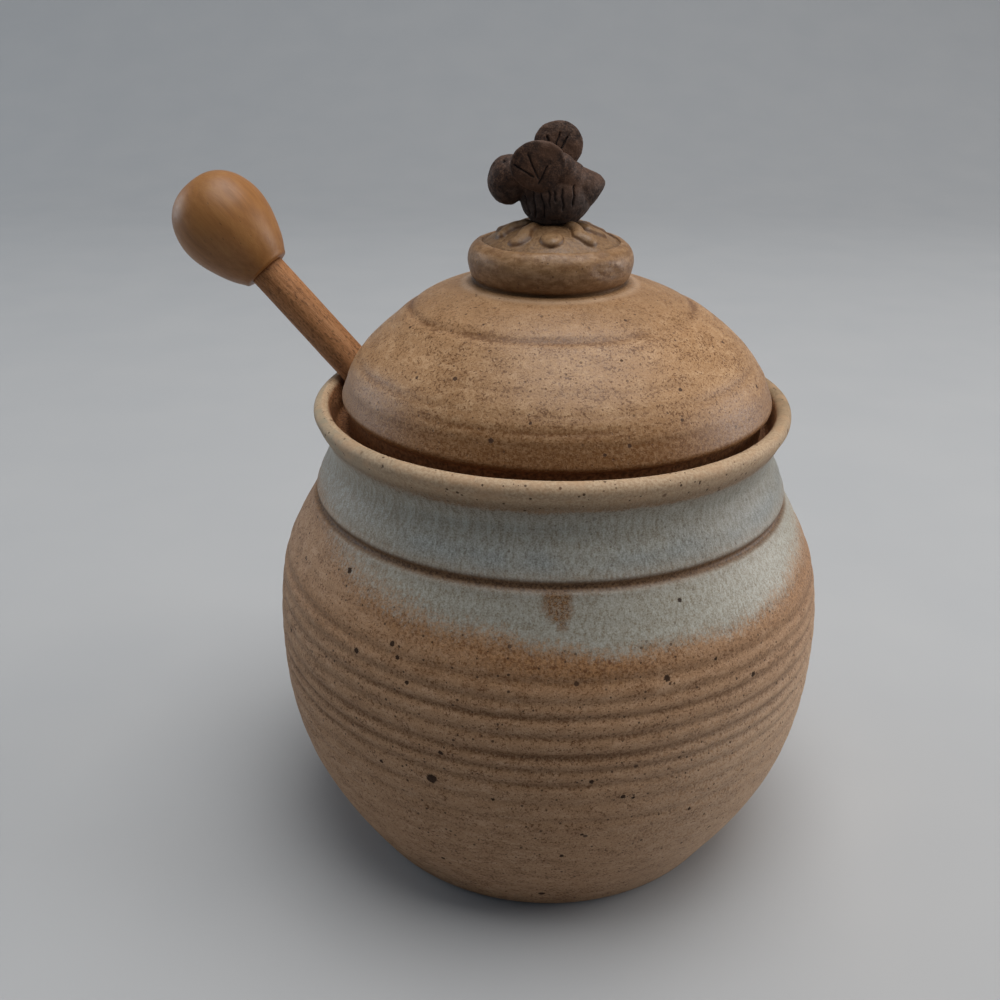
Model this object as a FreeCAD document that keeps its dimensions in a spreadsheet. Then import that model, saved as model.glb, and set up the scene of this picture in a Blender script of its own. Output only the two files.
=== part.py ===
import FreeCAD, Part
import os
import math
import Sketcher
from FreeCAD import Vector, Rotation, Placement

# Lidded stoneware honey pot with a small clay bee on the lid's knob and a
# wooden dipper that leans out between the lid and the rim.
# Millimetres, +Z up. Origin: centre of the pot's flat foot, on the surface it
# stands on. The dipper leans out towards -X.

doc = FreeCAD.newDocument("honey_pot")
sheet = doc.addObject("Spreadsheet::Sheet", "sizes")
values = {}
row = [0]


def cell(alias, value):
    """One driving dimension: the name in column A, its plain number in column B."""
    row[0] += 1
    sheet.set("A%d" % row[0], alias)
    sheet.set("B%d" % row[0], repr(float(value)))
    sheet.setAlias("B%d" % row[0], alias)
    values[alias] = float(value)


def profile_cells(prefix, points):
    """Profile points of a thrown or turned piece: radius and height of each."""
    for i, (r, z) in enumerate(points, 1):
        cell("%s_%02d_radius" % (prefix, i), r)
        cell("%s_%02d_height" % (prefix, i), z)


# ---- driving dimensions -------------------------------------------------
# Pot, outside: flat foot, rounded tuck, full belly, shoulder, waisted neck and
# a rim that rolls outwards. Every second point is a point the arc passes.
profile_cells("pot_outside", [
    (42.4, 0.0), (44.5, 0.75), (45.6, 2.6),          # foot edge, rounded
    (52.7, 15.5), (58.2, 30.0),                      # lower belly
    (60.1, 46.4), (58.95, 62.5),                     # full belly
    (56.4, 71.4), (50.75, 81.4),                     # shoulder
    (46.95, 91.0), (49.6, 98.3),                     # waisted neck
    (48.6, 101.3), (46.6, 100.2),                    # rolled rim
])
# Pot, inside: gallery wall, gallery ledge, neck, belly and floor.
cell("gallery_wall_radius", 45.7)
cell("gallery_height", 95.2)
cell("gallery_inner_radius", 41.75)
profile_cells("pot_inside", [
    (41.6, 92.4), (41.4, 88.6), (45.0, 81.6),        # neck into shoulder
    (51.6, 70.0), (54.2, 56.0),                      # shoulder into belly
    (53.4, 33.0), (46.4, 14.0),                      # belly
    (42.3, 8.8), (36.0, 6.8),                        # corner of the floor
])
cell("floor_height", 6.8)
# Incised line at the foot of the neck.
cell("neck_line_radius", 51.15)
cell("neck_line_height", 81.45)
cell("neck_line_tube", 0.85)
# Throwing rings: shallow valleys left by the fingers, evenly spaced.
cell("ring_top_height", 63.6)
cell("ring_pitch", 4.0)
cell("ring_tube", 2.2)
RING_REACH = [60.42, 61.19, 61.69, 61.93, 61.93, 61.64, 61.09, 60.33]
for i, v in enumerate(RING_REACH, 1):
    cell("ring_%02d_radius" % i, v)

# Lid: domed shell with a flat seat, a slightly undercut edge and a thick knob.
profile_cells("lid_outside", [
    (43.3, 95.2), (43.5, 100.7),                     # seat and side band
    (44.55, 101.8), (44.25, 102.9),                  # rounded edge, standing proud
    (41.7, 108.8), (37.1, 114.0),                    # steep part of the dome
    (27.2, 121.3), (16.4, 125.0),                    # shoulder under the knob
])
cell("lid_crown_height", 125.0)
profile_cells("lid_inside", [
    (38.9, 95.2), (37.0, 106.8), (31.0, 113.2),      # inner wall
])
profile_cells("knob", [
    (15.6, 124.4), (16.75, 129.4), (14.1, 133.2),    # rounded side
    (13.4, 132.95),                                  # pressed crease
    (9.2, 135.3), (3.6, 136.6),                      # cone up to the bee
])
cell("lid_inner_crown_height", 121.2)
cell("knob_base_height", 123.0)
cell("knob_top_height", 136.6)
# Petals: low rounded ridges raised on the knob's cone.
cell("petal_count", 8)
cell("petal_length", 4.6)
cell("petal_width", 1.75)
cell("petal_rise", 1.25)
cell("petal_distance", 8.4)
cell("petal_height", 134.55)
cell("petal_slope", 23.0)

# Dipper: a plain dowel glued into an egg-shaped wooden handle. It leans
# outwards over the rim and its lower end is near the far wall of the pot.
cell("dipper_bearing", 167.1)
cell("dipper_rise", 46.7)
cell("dipper_crossing_radius", 41.35)
cell("dipper_crossing_height", 101.0)
cell("stick_radius", 3.95)
cell("stick_inside_length", 114.0)
cell("stick_outside_length", 31.3)
cell("stick_tip_round", 1.6)
cell("notch_radius", 4.35)
profile_cells("egg", [
    (5.1, 0.0), (5.75, 0.55),                        # flat end, eased edge
    (8.45, 5.7), (10.25, 12.7),                      # swelling side
    (9.0, 18.7), (5.6, 22.0),                        # fat end
])
cell("egg_length", 23.5)

# Bee, modelled by hand in dark clay: body, head, pointed tail, two wings.
cell("bee_body_long", 7.7)
cell("bee_body_wide", 6.1)
cell("bee_body_tall", 6.35)
cell("bee_body_across", 0.35)
cell("bee_body_height", 141.9)
cell("bee_head_long", 4.1)
cell("bee_head_wide", 4.2)
cell("bee_head_tall", 4.7)
cell("bee_head_across", -9.5)
cell("bee_head_back", 0.6)
cell("bee_head_height", 144.7)
cell("bee_tail_base_radius", 3.6)
cell("bee_tail_tip_radius", 0.45)
cell("bee_tail_length", 5.2)
cell("bee_wing_radius", 5.0)
cell("bee_wing_thickness", 0.95)

doc.recompute()


# ---- helpers ------------------------------------------------------------
def plane(body, role):
    return [o for o in body.Origin.OriginFeatures if o.Role == role][0]


class Profile:
    """Half section of a round piece, drawn on the body's XZ plane."""

    def __init__(self, body, name):
        self.sk = body.newObject("Sketcher::SketchObject", name)
        self.sk.AttachmentSupport = [(plane(body, "XZ_Plane"), "")]
        self.sk.MapMode = "FlatFace"
        self.last = None
        self.first = None
        self.bound = []

    def _pin(self, geo, pos, p):
        """Hold one point with its two cells; a cell name of None is the axis."""
        rad, hgt = p
        if rad is None:
            self.sk.addConstraint(Sketcher.Constraint("PointOnObject", geo, pos, -2))
        else:
            i = self.sk.addConstraint(Sketcher.Constraint("DistanceX", -1, 1, geo, pos, values[rad]))
            self.bound.append((i, rad))
        if values[hgt] == 0.0:
            self.sk.addConstraint(Sketcher.Constraint("PointOnObject", geo, pos, -1))
        else:
            i = self.sk.addConstraint(Sketcher.Constraint("DistanceY", -1, 1, geo, pos, values[hgt]))
            self.bound.append((i, hgt))

    @staticmethod
    def _xy(p):
        return Vector(0.0 if p[0] is None else values[p[0]], values[p[1]], 0)

    def line(self, a, b):
        g = self.sk.addGeometry(Part.LineSegment(self._xy(a), self._xy(b)), False)
        self._join(g, 1, 2, a, b)

    def arc(self, a, m, b):
        """Arc from a through m to b."""
        pa, pm, pb = self._xy(a), self._xy(m), self._xy(b)
        g = self.sk.addGeometry(Part.Arc(pa, pm, pb), False)
        start_is_a = (self.sk.getPoint(g, 1) - pa).Length < 1e-4
        s, e = (1, 2) if start_is_a else (2, 1)
        self._join(g, s, e, a, b)
        c = self.sk.addGeometry(Part.Point(pm), True)
        self._pin(c, 1, m)
        self.sk.addConstraint(Sketcher.Constraint("PointOnObject", c, 1, g))

    def dome(self, a, b):
        """Arc from a to b, b on the axis and the arc's centre on the axis."""
        pa, pb = self._xy(a), self._xy(b)
        zc = (pa.x ** 2 + pa.y ** 2 - pb.y ** 2) / (2.0 * (pa.y - pb.y))
        rad = abs(pb.y - zc)
        half = math.atan2(pa.x, pa.y - zc) / 2.0
        pm = Vector(rad * math.sin(half), zc + rad * math.cos(half), 0)
        g = self.sk.addGeometry(Part.Arc(pa, pm, pb), False)
        start_is_a = (self.sk.getPoint(g, 1) - pa).Length < 1e-4
        s, e = (1, 2) if start_is_a else (2, 1)
        self._join(g, s, e, a, b)
        self.sk.addConstraint(Sketcher.Constraint("PointOnObject", g, 3, -2))

    def _join(self, g, s, e, a, b):
        if self.last is None:
            self.first = (g, s)
            self._pin(g, s, a)
        else:
            self.sk.addConstraint(Sketcher.Constraint("Coincident", self.last[0], self.last[1], g, s))
        self._pin(g, e, b)
        self.last = (g, e)

    def close(self, a, b):
        """Last straight edge back to the first point, along the axis."""
        g = self.sk.addGeometry(Part.LineSegment(self._xy(a), self._xy(b)), False)
        self.sk.addConstraint(Sketcher.Constraint("Coincident", self.last[0], self.last[1], g, 1))
        self.sk.addConstraint(Sketcher.Constraint("Coincident", g, 2, self.first[0], self.first[1]))

    def bind(self):
        for i, alias in self.bound:
            self.sk.setExpression("Constraints[%d]" % i, "sizes.%s" % alias)
        doc.recompute()
        return self.sk


def pt(prefix, i):
    return ("%s_%02d_radius" % (prefix, i), "%s_%02d_height" % (prefix, i))


def revolve(body, kind, name, sketch):
    f = body.newObject(kind, name)
    f.Profile = sketch
    f.ReferenceAxis = (sketch, ["V_Axis"])
    f.Angle = 360.0
    doc.recompute()
    return f


# ---- pot ----------------------------------------------------------------
pot = doc.addObject("PartDesign::Body", "pot")
pot.Label = "pot"
pr = Profile(pot, "pot_outside_profile")
O = [pt("pot_outside", i) for i in range(1, 14)]
axis_foot = (None, "pot_outside_01_height")
pr.line(axis_foot, O[0])
pr.arc(O[0], O[1], O[2])
pr.arc(O[2], O[3], O[4])
pr.arc(O[4], O[5], O[6])
pr.arc(O[6], O[7], O[8])
pr.arc(O[8], O[9], O[10])
pr.arc(O[10], O[11], O[12])
axis_rim = (None, "pot_outside_13_height")
pr.line(O[12], axis_rim)
pr.close(axis_rim, axis_foot)
revolve(pot, "PartDesign::Revolution", "thrown_outside", pr.bind())
full = pot.Shape.Volume

pr = Profile(pot, "pot_inside_profile")
I = [pt("pot_inside", i) for i in range(1, 10)]
cell("hollow_top_height", 103.0)
doc.recompute()
top_axis, top_wall = (None, "hollow_top_height"), ("pot_outside_13_radius", "hollow_top_height")
floor_axis = (None, "floor_height")
gal_wall = ("gallery_wall_radius", "gallery_height")
gal_in = ("gallery_inner_radius", "gallery_height")
pr.line(floor_axis, I[8])
pr.arc(I[8], I[7], I[6])
pr.arc(I[6], I[5], I[4])
pr.arc(I[4], I[3], I[2])
pr.arc(I[2], I[1], I[0])
pr.line(I[0], gal_in)
pr.line(gal_in, gal_wall)
pr.line(gal_wall, O[12])
pr.line(O[12], top_wall)
pr.line(top_wall, top_axis)
pr.close(top_axis, floor_axis)
revolve(pot, "PartDesign::Groove", "hollow", pr.bind())
if not pot.Shape.Volume < 0.6 * full:
    raise RuntimeError("the pot's hollow cut nothing")


def ring_cut(body, name, radius, height, tube):
    t = body.newObject("PartDesign::SubtractiveTorus", name)
    t.setExpression("Radius1", radius)
    t.setExpression("Radius2", tube)
    t.setExpression("Placement.Base.z", height)
    doc.recompute()
    return t


before = pot.Shape.Volume
ring_cut(pot, "neck_line", "sizes.neck_line_radius", "sizes.neck_line_height", "sizes.neck_line_tube")
for i in range(8):
    ring_cut(pot, "throwing_ring_%d" % (i + 1), "sizes.ring_%02d_radius" % (i + 1),
             "sizes.ring_top_height - %d * sizes.ring_pitch" % i, "sizes.ring_tube")
if not pot.Shape.Volume < before:
    raise RuntimeError("the rings cut nothing")

# ---- lid ----------------------------------------------------------------
lid = doc.addObject("PartDesign::Body", "lid")
lid.Label = "lid"
pr = Profile(lid, "lid_outside_profile")
L = [pt("lid_outside", i) for i in range(1, 9)]
seat_axis, crown_axis = (None, "lid_outside_01_height"), (None, "lid_crown_height")
pr.line(seat_axis, L[0])
pr.line(L[0], L[1])
pr.arc(L[1], L[2], L[3])
pr.arc(L[3], L[4], L[5])
pr.arc(L[5], L[6], L[7])
pr.line(L[7], crown_axis)
pr.close(crown_axis, seat_axis)
revolve(lid, "PartDesign::Revolution", "thrown_dome", pr.bind())

pr = Profile(lid, "knob_profile")
K = [pt("knob", i) for i in range(1, 7)]
kb, kt = (None, "knob_base_height"), (None, "knob_top_height")
kb_edge = ("knob_01_radius", "knob_base_height")
pr.line(kb, kb_edge)
pr.line(kb_edge, K[0])
pr.arc(K[0], K[1], K[2])
pr.line(K[2], K[3])
pr.arc(K[3], K[4], K[5])
pr.line(K[5], kt)
pr.close(kt, kb)
revolve(lid, "PartDesign::Revolution", "knob", pr.bind())

full = lid.Shape.Volume
pr = Profile(lid, "lid_inside_profile")
N = [pt("lid_inside", i) for i in range(1, 4)]
cell("lid_hollow_bottom", 92.0)
doc.recompute()
hb_axis, hb_edge = (None, "lid_hollow_bottom"), ("lid_inside_01_radius", "lid_hollow_bottom")
crown_in = (None, "lid_inner_crown_height")
pr.line(hb_axis, hb_edge)
pr.line(hb_edge, N[0])
pr.arc(N[0], N[1], N[2])
pr.dome(N[2], crown_in)
pr.close(crown_in, hb_axis)
revolve(lid, "PartDesign::Groove", "lid_hollow", pr.bind())
if not lid.Shape.Volume < 0.8 * full:
    raise RuntimeError("the lid's hollow cut nothing")

# Petals round the knob's cone.
petal = lid.newObject("PartDesign::AdditiveEllipsoid", "petal")
petal.setExpression("Radius1", "sizes.petal_rise")      # along the petal's own up axis
petal.setExpression("Radius2", "sizes.petal_length")    # along the petal
petal.setExpression("Radius3", "sizes.petal_width")     # across the petal
petal.Placement = Placement(Vector(0, 0, 0), Rotation(Vector(0, 1, 0), values["petal_slope"]))
petal.setExpression("Placement.Base.x", "sizes.petal_distance")
petal.setExpression("Placement.Base.z", "sizes.petal_height")
petal.setExpression("Placement.Rotation.Angle", "sizes.petal_slope")
doc.recompute()
ring = lid.newObject("PartDesign::PolarPattern", "petal_ring")
ring.Originals = [petal]
ring.Axis = ([o for o in lid.Origin.OriginFeatures if o.Role == "Z_Axis"][0], [""])
ring.Angle = 360.0
ring.setExpression("Occurrences", "sizes.petal_count")
lid.Tip = ring
doc.recompute()

# Notch in the lid's edge, cut at the dipper's own slope, so that the lid
# closes around the dipper and lifts straight off.
bearing = math.radians(values["dipper_bearing"])
rise = math.radians(values["dipper_rise"])
out = Vector(math.cos(bearing), math.sin(bearing), 0)
along = out * math.cos(rise) + Vector(0, 0, math.sin(rise))
under = out * math.sin(rise) - Vector(0, 0, math.cos(rise))   # square to the dipper, outwards and down
side = along.cross(under)
crossing = out * values["dipper_crossing_radius"] + Vector(0, 0, values["dipper_crossing_height"])
dipper_turn = Rotation(under, side * -1 if under.cross(side).dot(along) < 0 else side, along, "ZXY")
before = lid.Shape.Volume
notch = lid.newObject("PartDesign::SubtractiveCylinder", "notch_round")
notch.setExpression("Radius", "sizes.notch_radius")
notch.Height = 44.0
notch.Placement = Placement(crossing - along * 18.0, dipper_turn)
doc.recompute()
mouth = lid.newObject("PartDesign::SubtractiveBox", "notch_mouth")
mouth.setExpression("Width", "2 * sizes.notch_radius")
mouth.Length = 22.0
mouth.Height = 44.0
mouth.Placement = Placement(crossing - along * 18.0, dipper_turn).multiply(
    Placement(Vector(0, -values["notch_radius"], 0), Rotation()))
doc.recompute()
if not lid.Shape.Volume < before - 50:
    raise RuntimeError("the notch cut nothing")

# ---- dipper -------------------------------------------------------------
stick_raw = doc.addObject("Part::Cylinder", "stick_blank")
stick_raw.setExpression("Radius", "sizes.stick_radius")
stick_raw.setExpression("Height", "sizes.stick_inside_length + sizes.stick_outside_length")
stick_raw.Placement = Placement(crossing - along * values["stick_inside_length"], dipper_turn)
doc.recompute()
low = min(range(1, 4), key=lambda k: stick_raw.Shape.Edges[k - 1].BoundBox.Center.z
          if stick_raw.Shape.Edges[k - 1].Closed else 1e9)
stick = doc.addObject("Part::Fillet", "dipper_stick")
stick.Base = stick_raw
stick.Edges = [(low, values["stick_tip_round"], values["stick_tip_round"])]
stick.Label = "dipper_stick"
doc.recompute()

egg = doc.addObject("PartDesign::Body", "dipper_handle")
egg.Label = "dipper_handle"
pr = Profile(egg, "egg_profile")
E = [pt("egg", i) for i in range(1, 7)]
e0, e1 = (None, "egg_01_height"), (None, "egg_length")
pr.line(e0, E[0])
pr.line(E[0], E[1])
pr.arc(E[1], E[2], E[3])
pr.arc(E[3], E[4], E[5])
pr.dome(E[5], e1)
pr.close(e1, e0)
revolve(egg, "PartDesign::Revolution", "turned_egg", pr.bind())
egg.Placement = Placement(crossing + along * values["stick_outside_length"], dipper_turn)
doc.recompute()


# ---- bee ----------------------------------------------------------------
def lump(name, long_, wide, tall, at, turn):
    """Hand-rolled lump of clay: an ellipsoid, long axis on X, tall axis on Z."""
    e = doc.addObject("Part::Ellipsoid", name)
    e.setExpression("Radius1", tall)
    e.setExpression("Radius2", long_)
    e.setExpression("Radius3", wide)
    e.Placement = Placement(at, turn)
    return e


b = lump("bee_body_lump", "sizes.bee_body_long", "sizes.bee_body_wide", "sizes.bee_body_tall",
         Vector(values["bee_body_across"], 0, values["bee_body_height"]), Rotation(Vector(0, 1, 0), -6))
b.setExpression("Placement.Base.x", "sizes.bee_body_across")
b.setExpression("Placement.Base.z", "sizes.bee_body_height")
head = lump("bee_head_lump", "sizes.bee_head_long", "sizes.bee_head_wide", "sizes.bee_head_tall",
            Vector(values["bee_head_across"], values["bee_head_back"], values["bee_head_height"]),
            Rotation(Vector(0, 1, 0), 12))
head.setExpression("Placement.Base.x", "sizes.bee_head_across")
head.setExpression("Placement.Base.y", "sizes.bee_head_back")
head.setExpression("Placement.Base.z", "sizes.bee_head_height")
tail = doc.addObject("Part::Cone", "bee_tail")
tail.setExpression("Radius1", "sizes.bee_tail_base_radius")
tail.setExpression("Radius2", "sizes.bee_tail_tip_radius")
tail.setExpression("Height", "sizes.bee_tail_length")
tail.Placement = Placement(Vector(4.5, 0, 143.2), Rotation(Vector(0, 0, 1), Vector(1, 0, 0.28)))
# Each wing is a pinched disc standing up and outwards from the back.
near = lump("bee_wing_near", "sizes.bee_wing_radius", "sizes.bee_wing_thickness", "sizes.bee_wing_radius",
            Vector(-4.0, -5.0, 148.2), Rotation(Vector(1, 0, 0), 6))
far = lump("bee_wing_far", "sizes.bee_wing_radius", "sizes.bee_wing_thickness", "sizes.bee_wing_radius",
           Vector(0.7, 3.9, 150.1), Rotation(Vector(1, 0, 0), -20))
bee_raw = doc.addObject("Part::MultiFuse", "bee_clay")
bee_raw.Shapes = [b, head, tail, near, far]
doc.recompute()
# The bee is pressed down on the knob, so its underside takes the knob's shape.
bee = doc.addObject("Part::Cut", "bee")
bee.Base = bee_raw
bee.Tool = lid
bee.Label = "bee"
doc.recompute()

# ---- checks and files ---------------------------------------------------
for o in doc.Objects:
    bad = [s for s in o.State if s in ("Invalid", "Error")]
    if bad:
        raise RuntimeError("%s: %s" % (o.Name, bad))
parts = [pot, lid, bee, stick, egg]
for o in parts:
    if o.Shape.isNull() or not o.Shape.isValid() or len(o.Shape.Solids) != 1:
        raise RuntimeError("%s is not one valid solid" % o.Label)
os.makedirs("parts", exist_ok=True)
for o in parts:
    o.Shape.exportStep("parts/%s.step" % o.Label)
    bb = o.Shape.BoundBox
    print("%-14s volume %9.1f mm3  x %.2f..%.2f  y %.2f..%.2f  z %.2f..%.2f" % (
        o.Label, o.Shape.Volume, bb.XMin, bb.XMax, bb.YMin, bb.YMax, bb.ZMin, bb.ZMax))
for i, a in enumerate(parts):
    for c in parts[i + 1:]:
        print("%s / %s: shared %.4f mm3, gap %.3f mm" % (
            a.Label, c.Label, a.Shape.common(c.Shape).Volume, a.Shape.distToShape(c.Shape)[0]))
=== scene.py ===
import bpy
import bmesh
import math
import numpy as np
from mathutils import Matrix, Vector


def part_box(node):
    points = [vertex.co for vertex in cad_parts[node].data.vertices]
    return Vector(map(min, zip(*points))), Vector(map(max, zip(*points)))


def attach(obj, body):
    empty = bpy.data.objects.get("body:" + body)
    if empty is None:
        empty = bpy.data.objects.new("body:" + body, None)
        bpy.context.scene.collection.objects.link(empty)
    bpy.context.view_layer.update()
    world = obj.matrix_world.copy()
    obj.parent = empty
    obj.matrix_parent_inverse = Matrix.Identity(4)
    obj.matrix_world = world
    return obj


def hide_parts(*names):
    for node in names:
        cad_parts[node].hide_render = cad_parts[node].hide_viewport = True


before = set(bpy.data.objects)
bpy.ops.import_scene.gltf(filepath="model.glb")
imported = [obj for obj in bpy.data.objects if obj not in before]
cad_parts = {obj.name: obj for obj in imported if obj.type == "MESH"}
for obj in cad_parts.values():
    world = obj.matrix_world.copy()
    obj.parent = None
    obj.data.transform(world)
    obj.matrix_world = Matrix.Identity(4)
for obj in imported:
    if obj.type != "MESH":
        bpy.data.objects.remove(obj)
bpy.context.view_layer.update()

# everything is placed and scaled from the CAD pieces' own boxes
BOX = {k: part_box(k) for k in ("pot", "lid", "bee", "dipper_stick", "dipper_handle")}
MM = 0.001 * (BOX["pot"][1].z - BOX["pot"][0].z) / 0.10133
AXIS = Vector(((BOX["pot"][0].x + BOX["pot"][1].x) / 2, (BOX["pot"][0].y + BOX["pot"][1].y) / 2, BOX["pot"][0].z))
AXIS = Vector((round(AXIS.x, 4), round(AXIS.y, 4), round(AXIS.z, 4)))
LID_UP = round((BOX["lid"][0].z - AXIS.z) / MM - 95.2, 1)
BEE_BY = ((BOX["bee"][0] + BOX["bee"][1]) / 2 - AXIS) / MM - Vector((-2.0, 0.0, 145.675))
BEE_BY = Vector((round(BEE_BY.x, 1), round(BEE_BY.y, 1), round(BEE_BY.z, 1)))


# ------------------------------------------------------------------ numbers
def hash3(ix, iy, iz, seed):
    h = (ix.astype(np.int64) * 374761393 + iy.astype(np.int64) * 668265263
         + iz.astype(np.int64) * 2147483629 + seed * 1274126177) & 0xFFFFFFFF
    h = ((h ^ (h >> 13)) * 1103515245) & 0xFFFFFFFF
    h = ((h ^ (h >> 15)) * 2246822519) & 0xFFFFFFFF
    return ((h ^ (h >> 16)) & 0xFFFFF) / float(0xFFFFF)


def vnoise(x, y, z, seed=0):
    """Smooth value noise, -1 to 1."""
    x, y, z = np.broadcast_arrays(np.asarray(x, float), np.asarray(y, float), np.asarray(z, float))
    ix, iy, iz = np.floor(x).astype(int), np.floor(y).astype(int), np.floor(z).astype(int)
    fx, fy, fz = x - ix, y - iy, z - iz
    fx, fy, fz = [f * f * f * (f * (f * 6 - 15) + 10) for f in (fx, fy, fz)]
    out = 0.0
    for dx in (0, 1):
        for dy in (0, 1):
            for dz in (0, 1):
                w = (fx if dx else 1 - fx) * (fy if dy else 1 - fy) * (fz if dz else 1 - fz)
                out = out + w * hash3(ix + dx, iy + dy, iz + dz, seed)
    return out * 2 - 1


def fbm(x, y, z, seed=0, octaves=3):
    a, s, t = 1.0, 0.0, 0.0
    for o in range(octaves):
        t = t + a * vnoise(x * 2 ** o, y * 2 ** o, z * 2 ** o, seed + 17 * o)
        s += a
        a *= 0.5
    return t / s


def sstep(a, b, x):
    t = np.clip((x - a) / (b - a), 0, 1)
    return t * t * (3 - 2 * t)


def bell(x, c, w):
    return np.exp(-((x - c) / w) ** 2)


def spline(points, step):
    """Smooth curve through the points (centripetal Catmull-Rom), sampled about every step."""
    p = np.asarray(points, float)
    p = np.vstack([2 * p[0] - p[1], p, 2 * p[-1] - p[-2]])
    out = [p[1]]
    for i in range(1, len(p) - 2):
        p0, p1, p2, p3 = p[i - 1], p[i], p[i + 1], p[i + 2]
        t0 = 0.0
        t1 = t0 + max(np.linalg.norm(p1 - p0), 1e-6) ** 0.5
        t2 = t1 + max(np.linalg.norm(p2 - p1), 1e-6) ** 0.5
        t3 = t2 + max(np.linalg.norm(p3 - p2), 1e-6) ** 0.5
        n = max(1, int(math.ceil(np.linalg.norm(p2 - p1) / step)))
        for k in range(1, n + 1):
            t = t1 + (t2 - t1) * k / n
            a1 = (t1 - t) / (t1 - t0) * p0 + (t - t0) / (t1 - t0) * p1
            a2 = (t2 - t) / (t2 - t1) * p1 + (t - t1) / (t2 - t1) * p2
            a3 = (t3 - t) / (t3 - t2) * p2 + (t - t2) / (t3 - t2) * p3
            b1 = (t2 - t) / (t2 - t0) * a1 + (t - t0) / (t2 - t0) * a2
            b2 = (t3 - t) / (t3 - t1) * a2 + (t - t1) / (t3 - t1) * a3
            out.append((t2 - t) / (t2 - t1) * b1 + (t - t1) / (t2 - t1) * b2)
    return np.array(out)


# ------------------------------------------------------------------- meshes
def lathe(name, prof, nphi, displace=None, attributes=None, base=None, up_by=0.0):
    """A closed round piece from its half profile in mm, first and last point on the axis.
    phi is 0 towards -Y (the front) and grows towards +X (the right)."""
    prof = np.asarray(prof, float)
    mid = prof[1:-1]
    tan = np.gradient(prof, axis=0)[1:-1]
    tan /= np.linalg.norm(tan, axis=1)[:, None] + 1e-12
    nr, nz = tan[:, 1], -tan[:, 0]
    phi = np.linspace(-math.pi, math.pi, nphi, endpoint=False)
    F, R = np.meshgrid(phi, mid[:, 0])
    _, Z = np.meshgrid(phi, mid[:, 1])
    NR = np.repeat(nr[:, None], nphi, 1)
    NZ = np.repeat(nz[:, None], nphi, 1)
    IDX = np.repeat(np.arange(1, len(prof) - 1)[:, None], nphi, 1)
    dx = dy = 0.0
    if displace is not None:
        d, dx, dy, dzz = displace(F, R, Z, NR, NZ, IDX)
        R2, Z2 = R + NR * d, Z + NZ * d + dzz
    else:
        R2, Z2 = R, Z
    X, Y = R2 * np.sin(F) + dx, -R2 * np.cos(F) + dy
    Z2 = Z2 + up_by
    verts = np.stack([X, Y, Z2], -1).reshape(-1, 3)
    m = len(mid)
    ax0 = (X[0].mean(), Y[0].mean(), prof[0, 1] + (Z2[0] - Z[0]).mean())
    ax1 = (X[-1].mean(), Y[-1].mean(), prof[-1, 1] + (Z2[-1] - Z[-1]).mean())
    verts = np.vstack([verts, ax0, ax1])
    b, t = m * nphi, m * nphi + 1
    i, j = np.meshgrid(np.arange(m - 1), np.arange(nphi), indexing="ij")
    j2 = (j + 1) % nphi
    quads = np.stack([i * nphi + j, i * nphi + j2, (i + 1) * nphi + j2, (i + 1) * nphi + j], -1).reshape(-1, 4)
    k = np.arange(nphi)
    k2 = (k + 1) % nphi
    fan0 = np.stack([np.full(nphi, b), k2, k], -1)
    fan1 = np.stack([np.full(nphi, t), (m - 1) * nphi + k, (m - 1) * nphi + k2], -1)
    me = bpy.data.meshes.new(name)
    me.from_pydata((verts * MM + (np.zeros(3) if base is None else np.array(base))).tolist(), [], quads.tolist() + fan0.tolist() + fan1.tolist())
    me.update()
    if attributes is not None:
        vals = attributes(F, R, Z, IDX)
        for an, arr in vals.items():
            arr = np.broadcast_to(arr, F.shape).reshape(-1)
            full = np.concatenate([arr, [arr[:nphi].mean(), arr[-nphi:].mean()]]).astype(np.float32)
            at = me.attributes.new(an, "FLOAT", "POINT")
            at.data.foreach_set("value", full)
    ob = bpy.data.objects.new(name, me)
    bpy.context.scene.collection.objects.link(ob)
    bm = bmesh.new()
    bm.from_mesh(me)
    if bm.calc_volume(signed=True) < 0:
        bmesh.ops.reverse_faces(bm, faces=bm.faces)
    bm.to_mesh(me)
    bm.free()
    me.polygons.foreach_set("use_smooth", np.ones(len(me.polygons), bool))
    me.update()
    return ob


def coords(ob):
    co = np.empty(len(ob.data.vertices) * 3)
    ob.data.vertices.foreach_get("co", co)
    return co.reshape(-1, 3)


def set_coords(ob, co):
    ob.data.vertices.foreach_set("co", co.astype(np.float32).ravel())
    ob.data.update()


def normals(ob):
    n = np.empty(len(ob.data.vertices) * 3)
    ob.data.vertices.foreach_get("normal", n)
    return n.reshape(-1, 3)


def bake(ob, mtx):
    """Moves the mesh itself, and keeps where each point was, in mm, for the material."""
    co = coords(ob)
    at = ob.data.attributes.new("local", "FLOAT_VECTOR", "POINT")
    at.data.foreach_set("vector", (co / MM).astype(np.float32).ravel())
    m3 = np.array(mtx)
    set_coords(ob, co @ m3[:3, :3].T + m3[:3, 3])


def apply_modifiers(ob):
    dg = bpy.context.evaluated_depsgraph_get()
    me = bpy.data.meshes.new_from_object(ob.evaluated_get(dg))
    old = ob.data
    ob.modifiers.clear()
    ob.data = me
    me.name = ob.name
    bpy.data.meshes.remove(old)
    return ob


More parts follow.
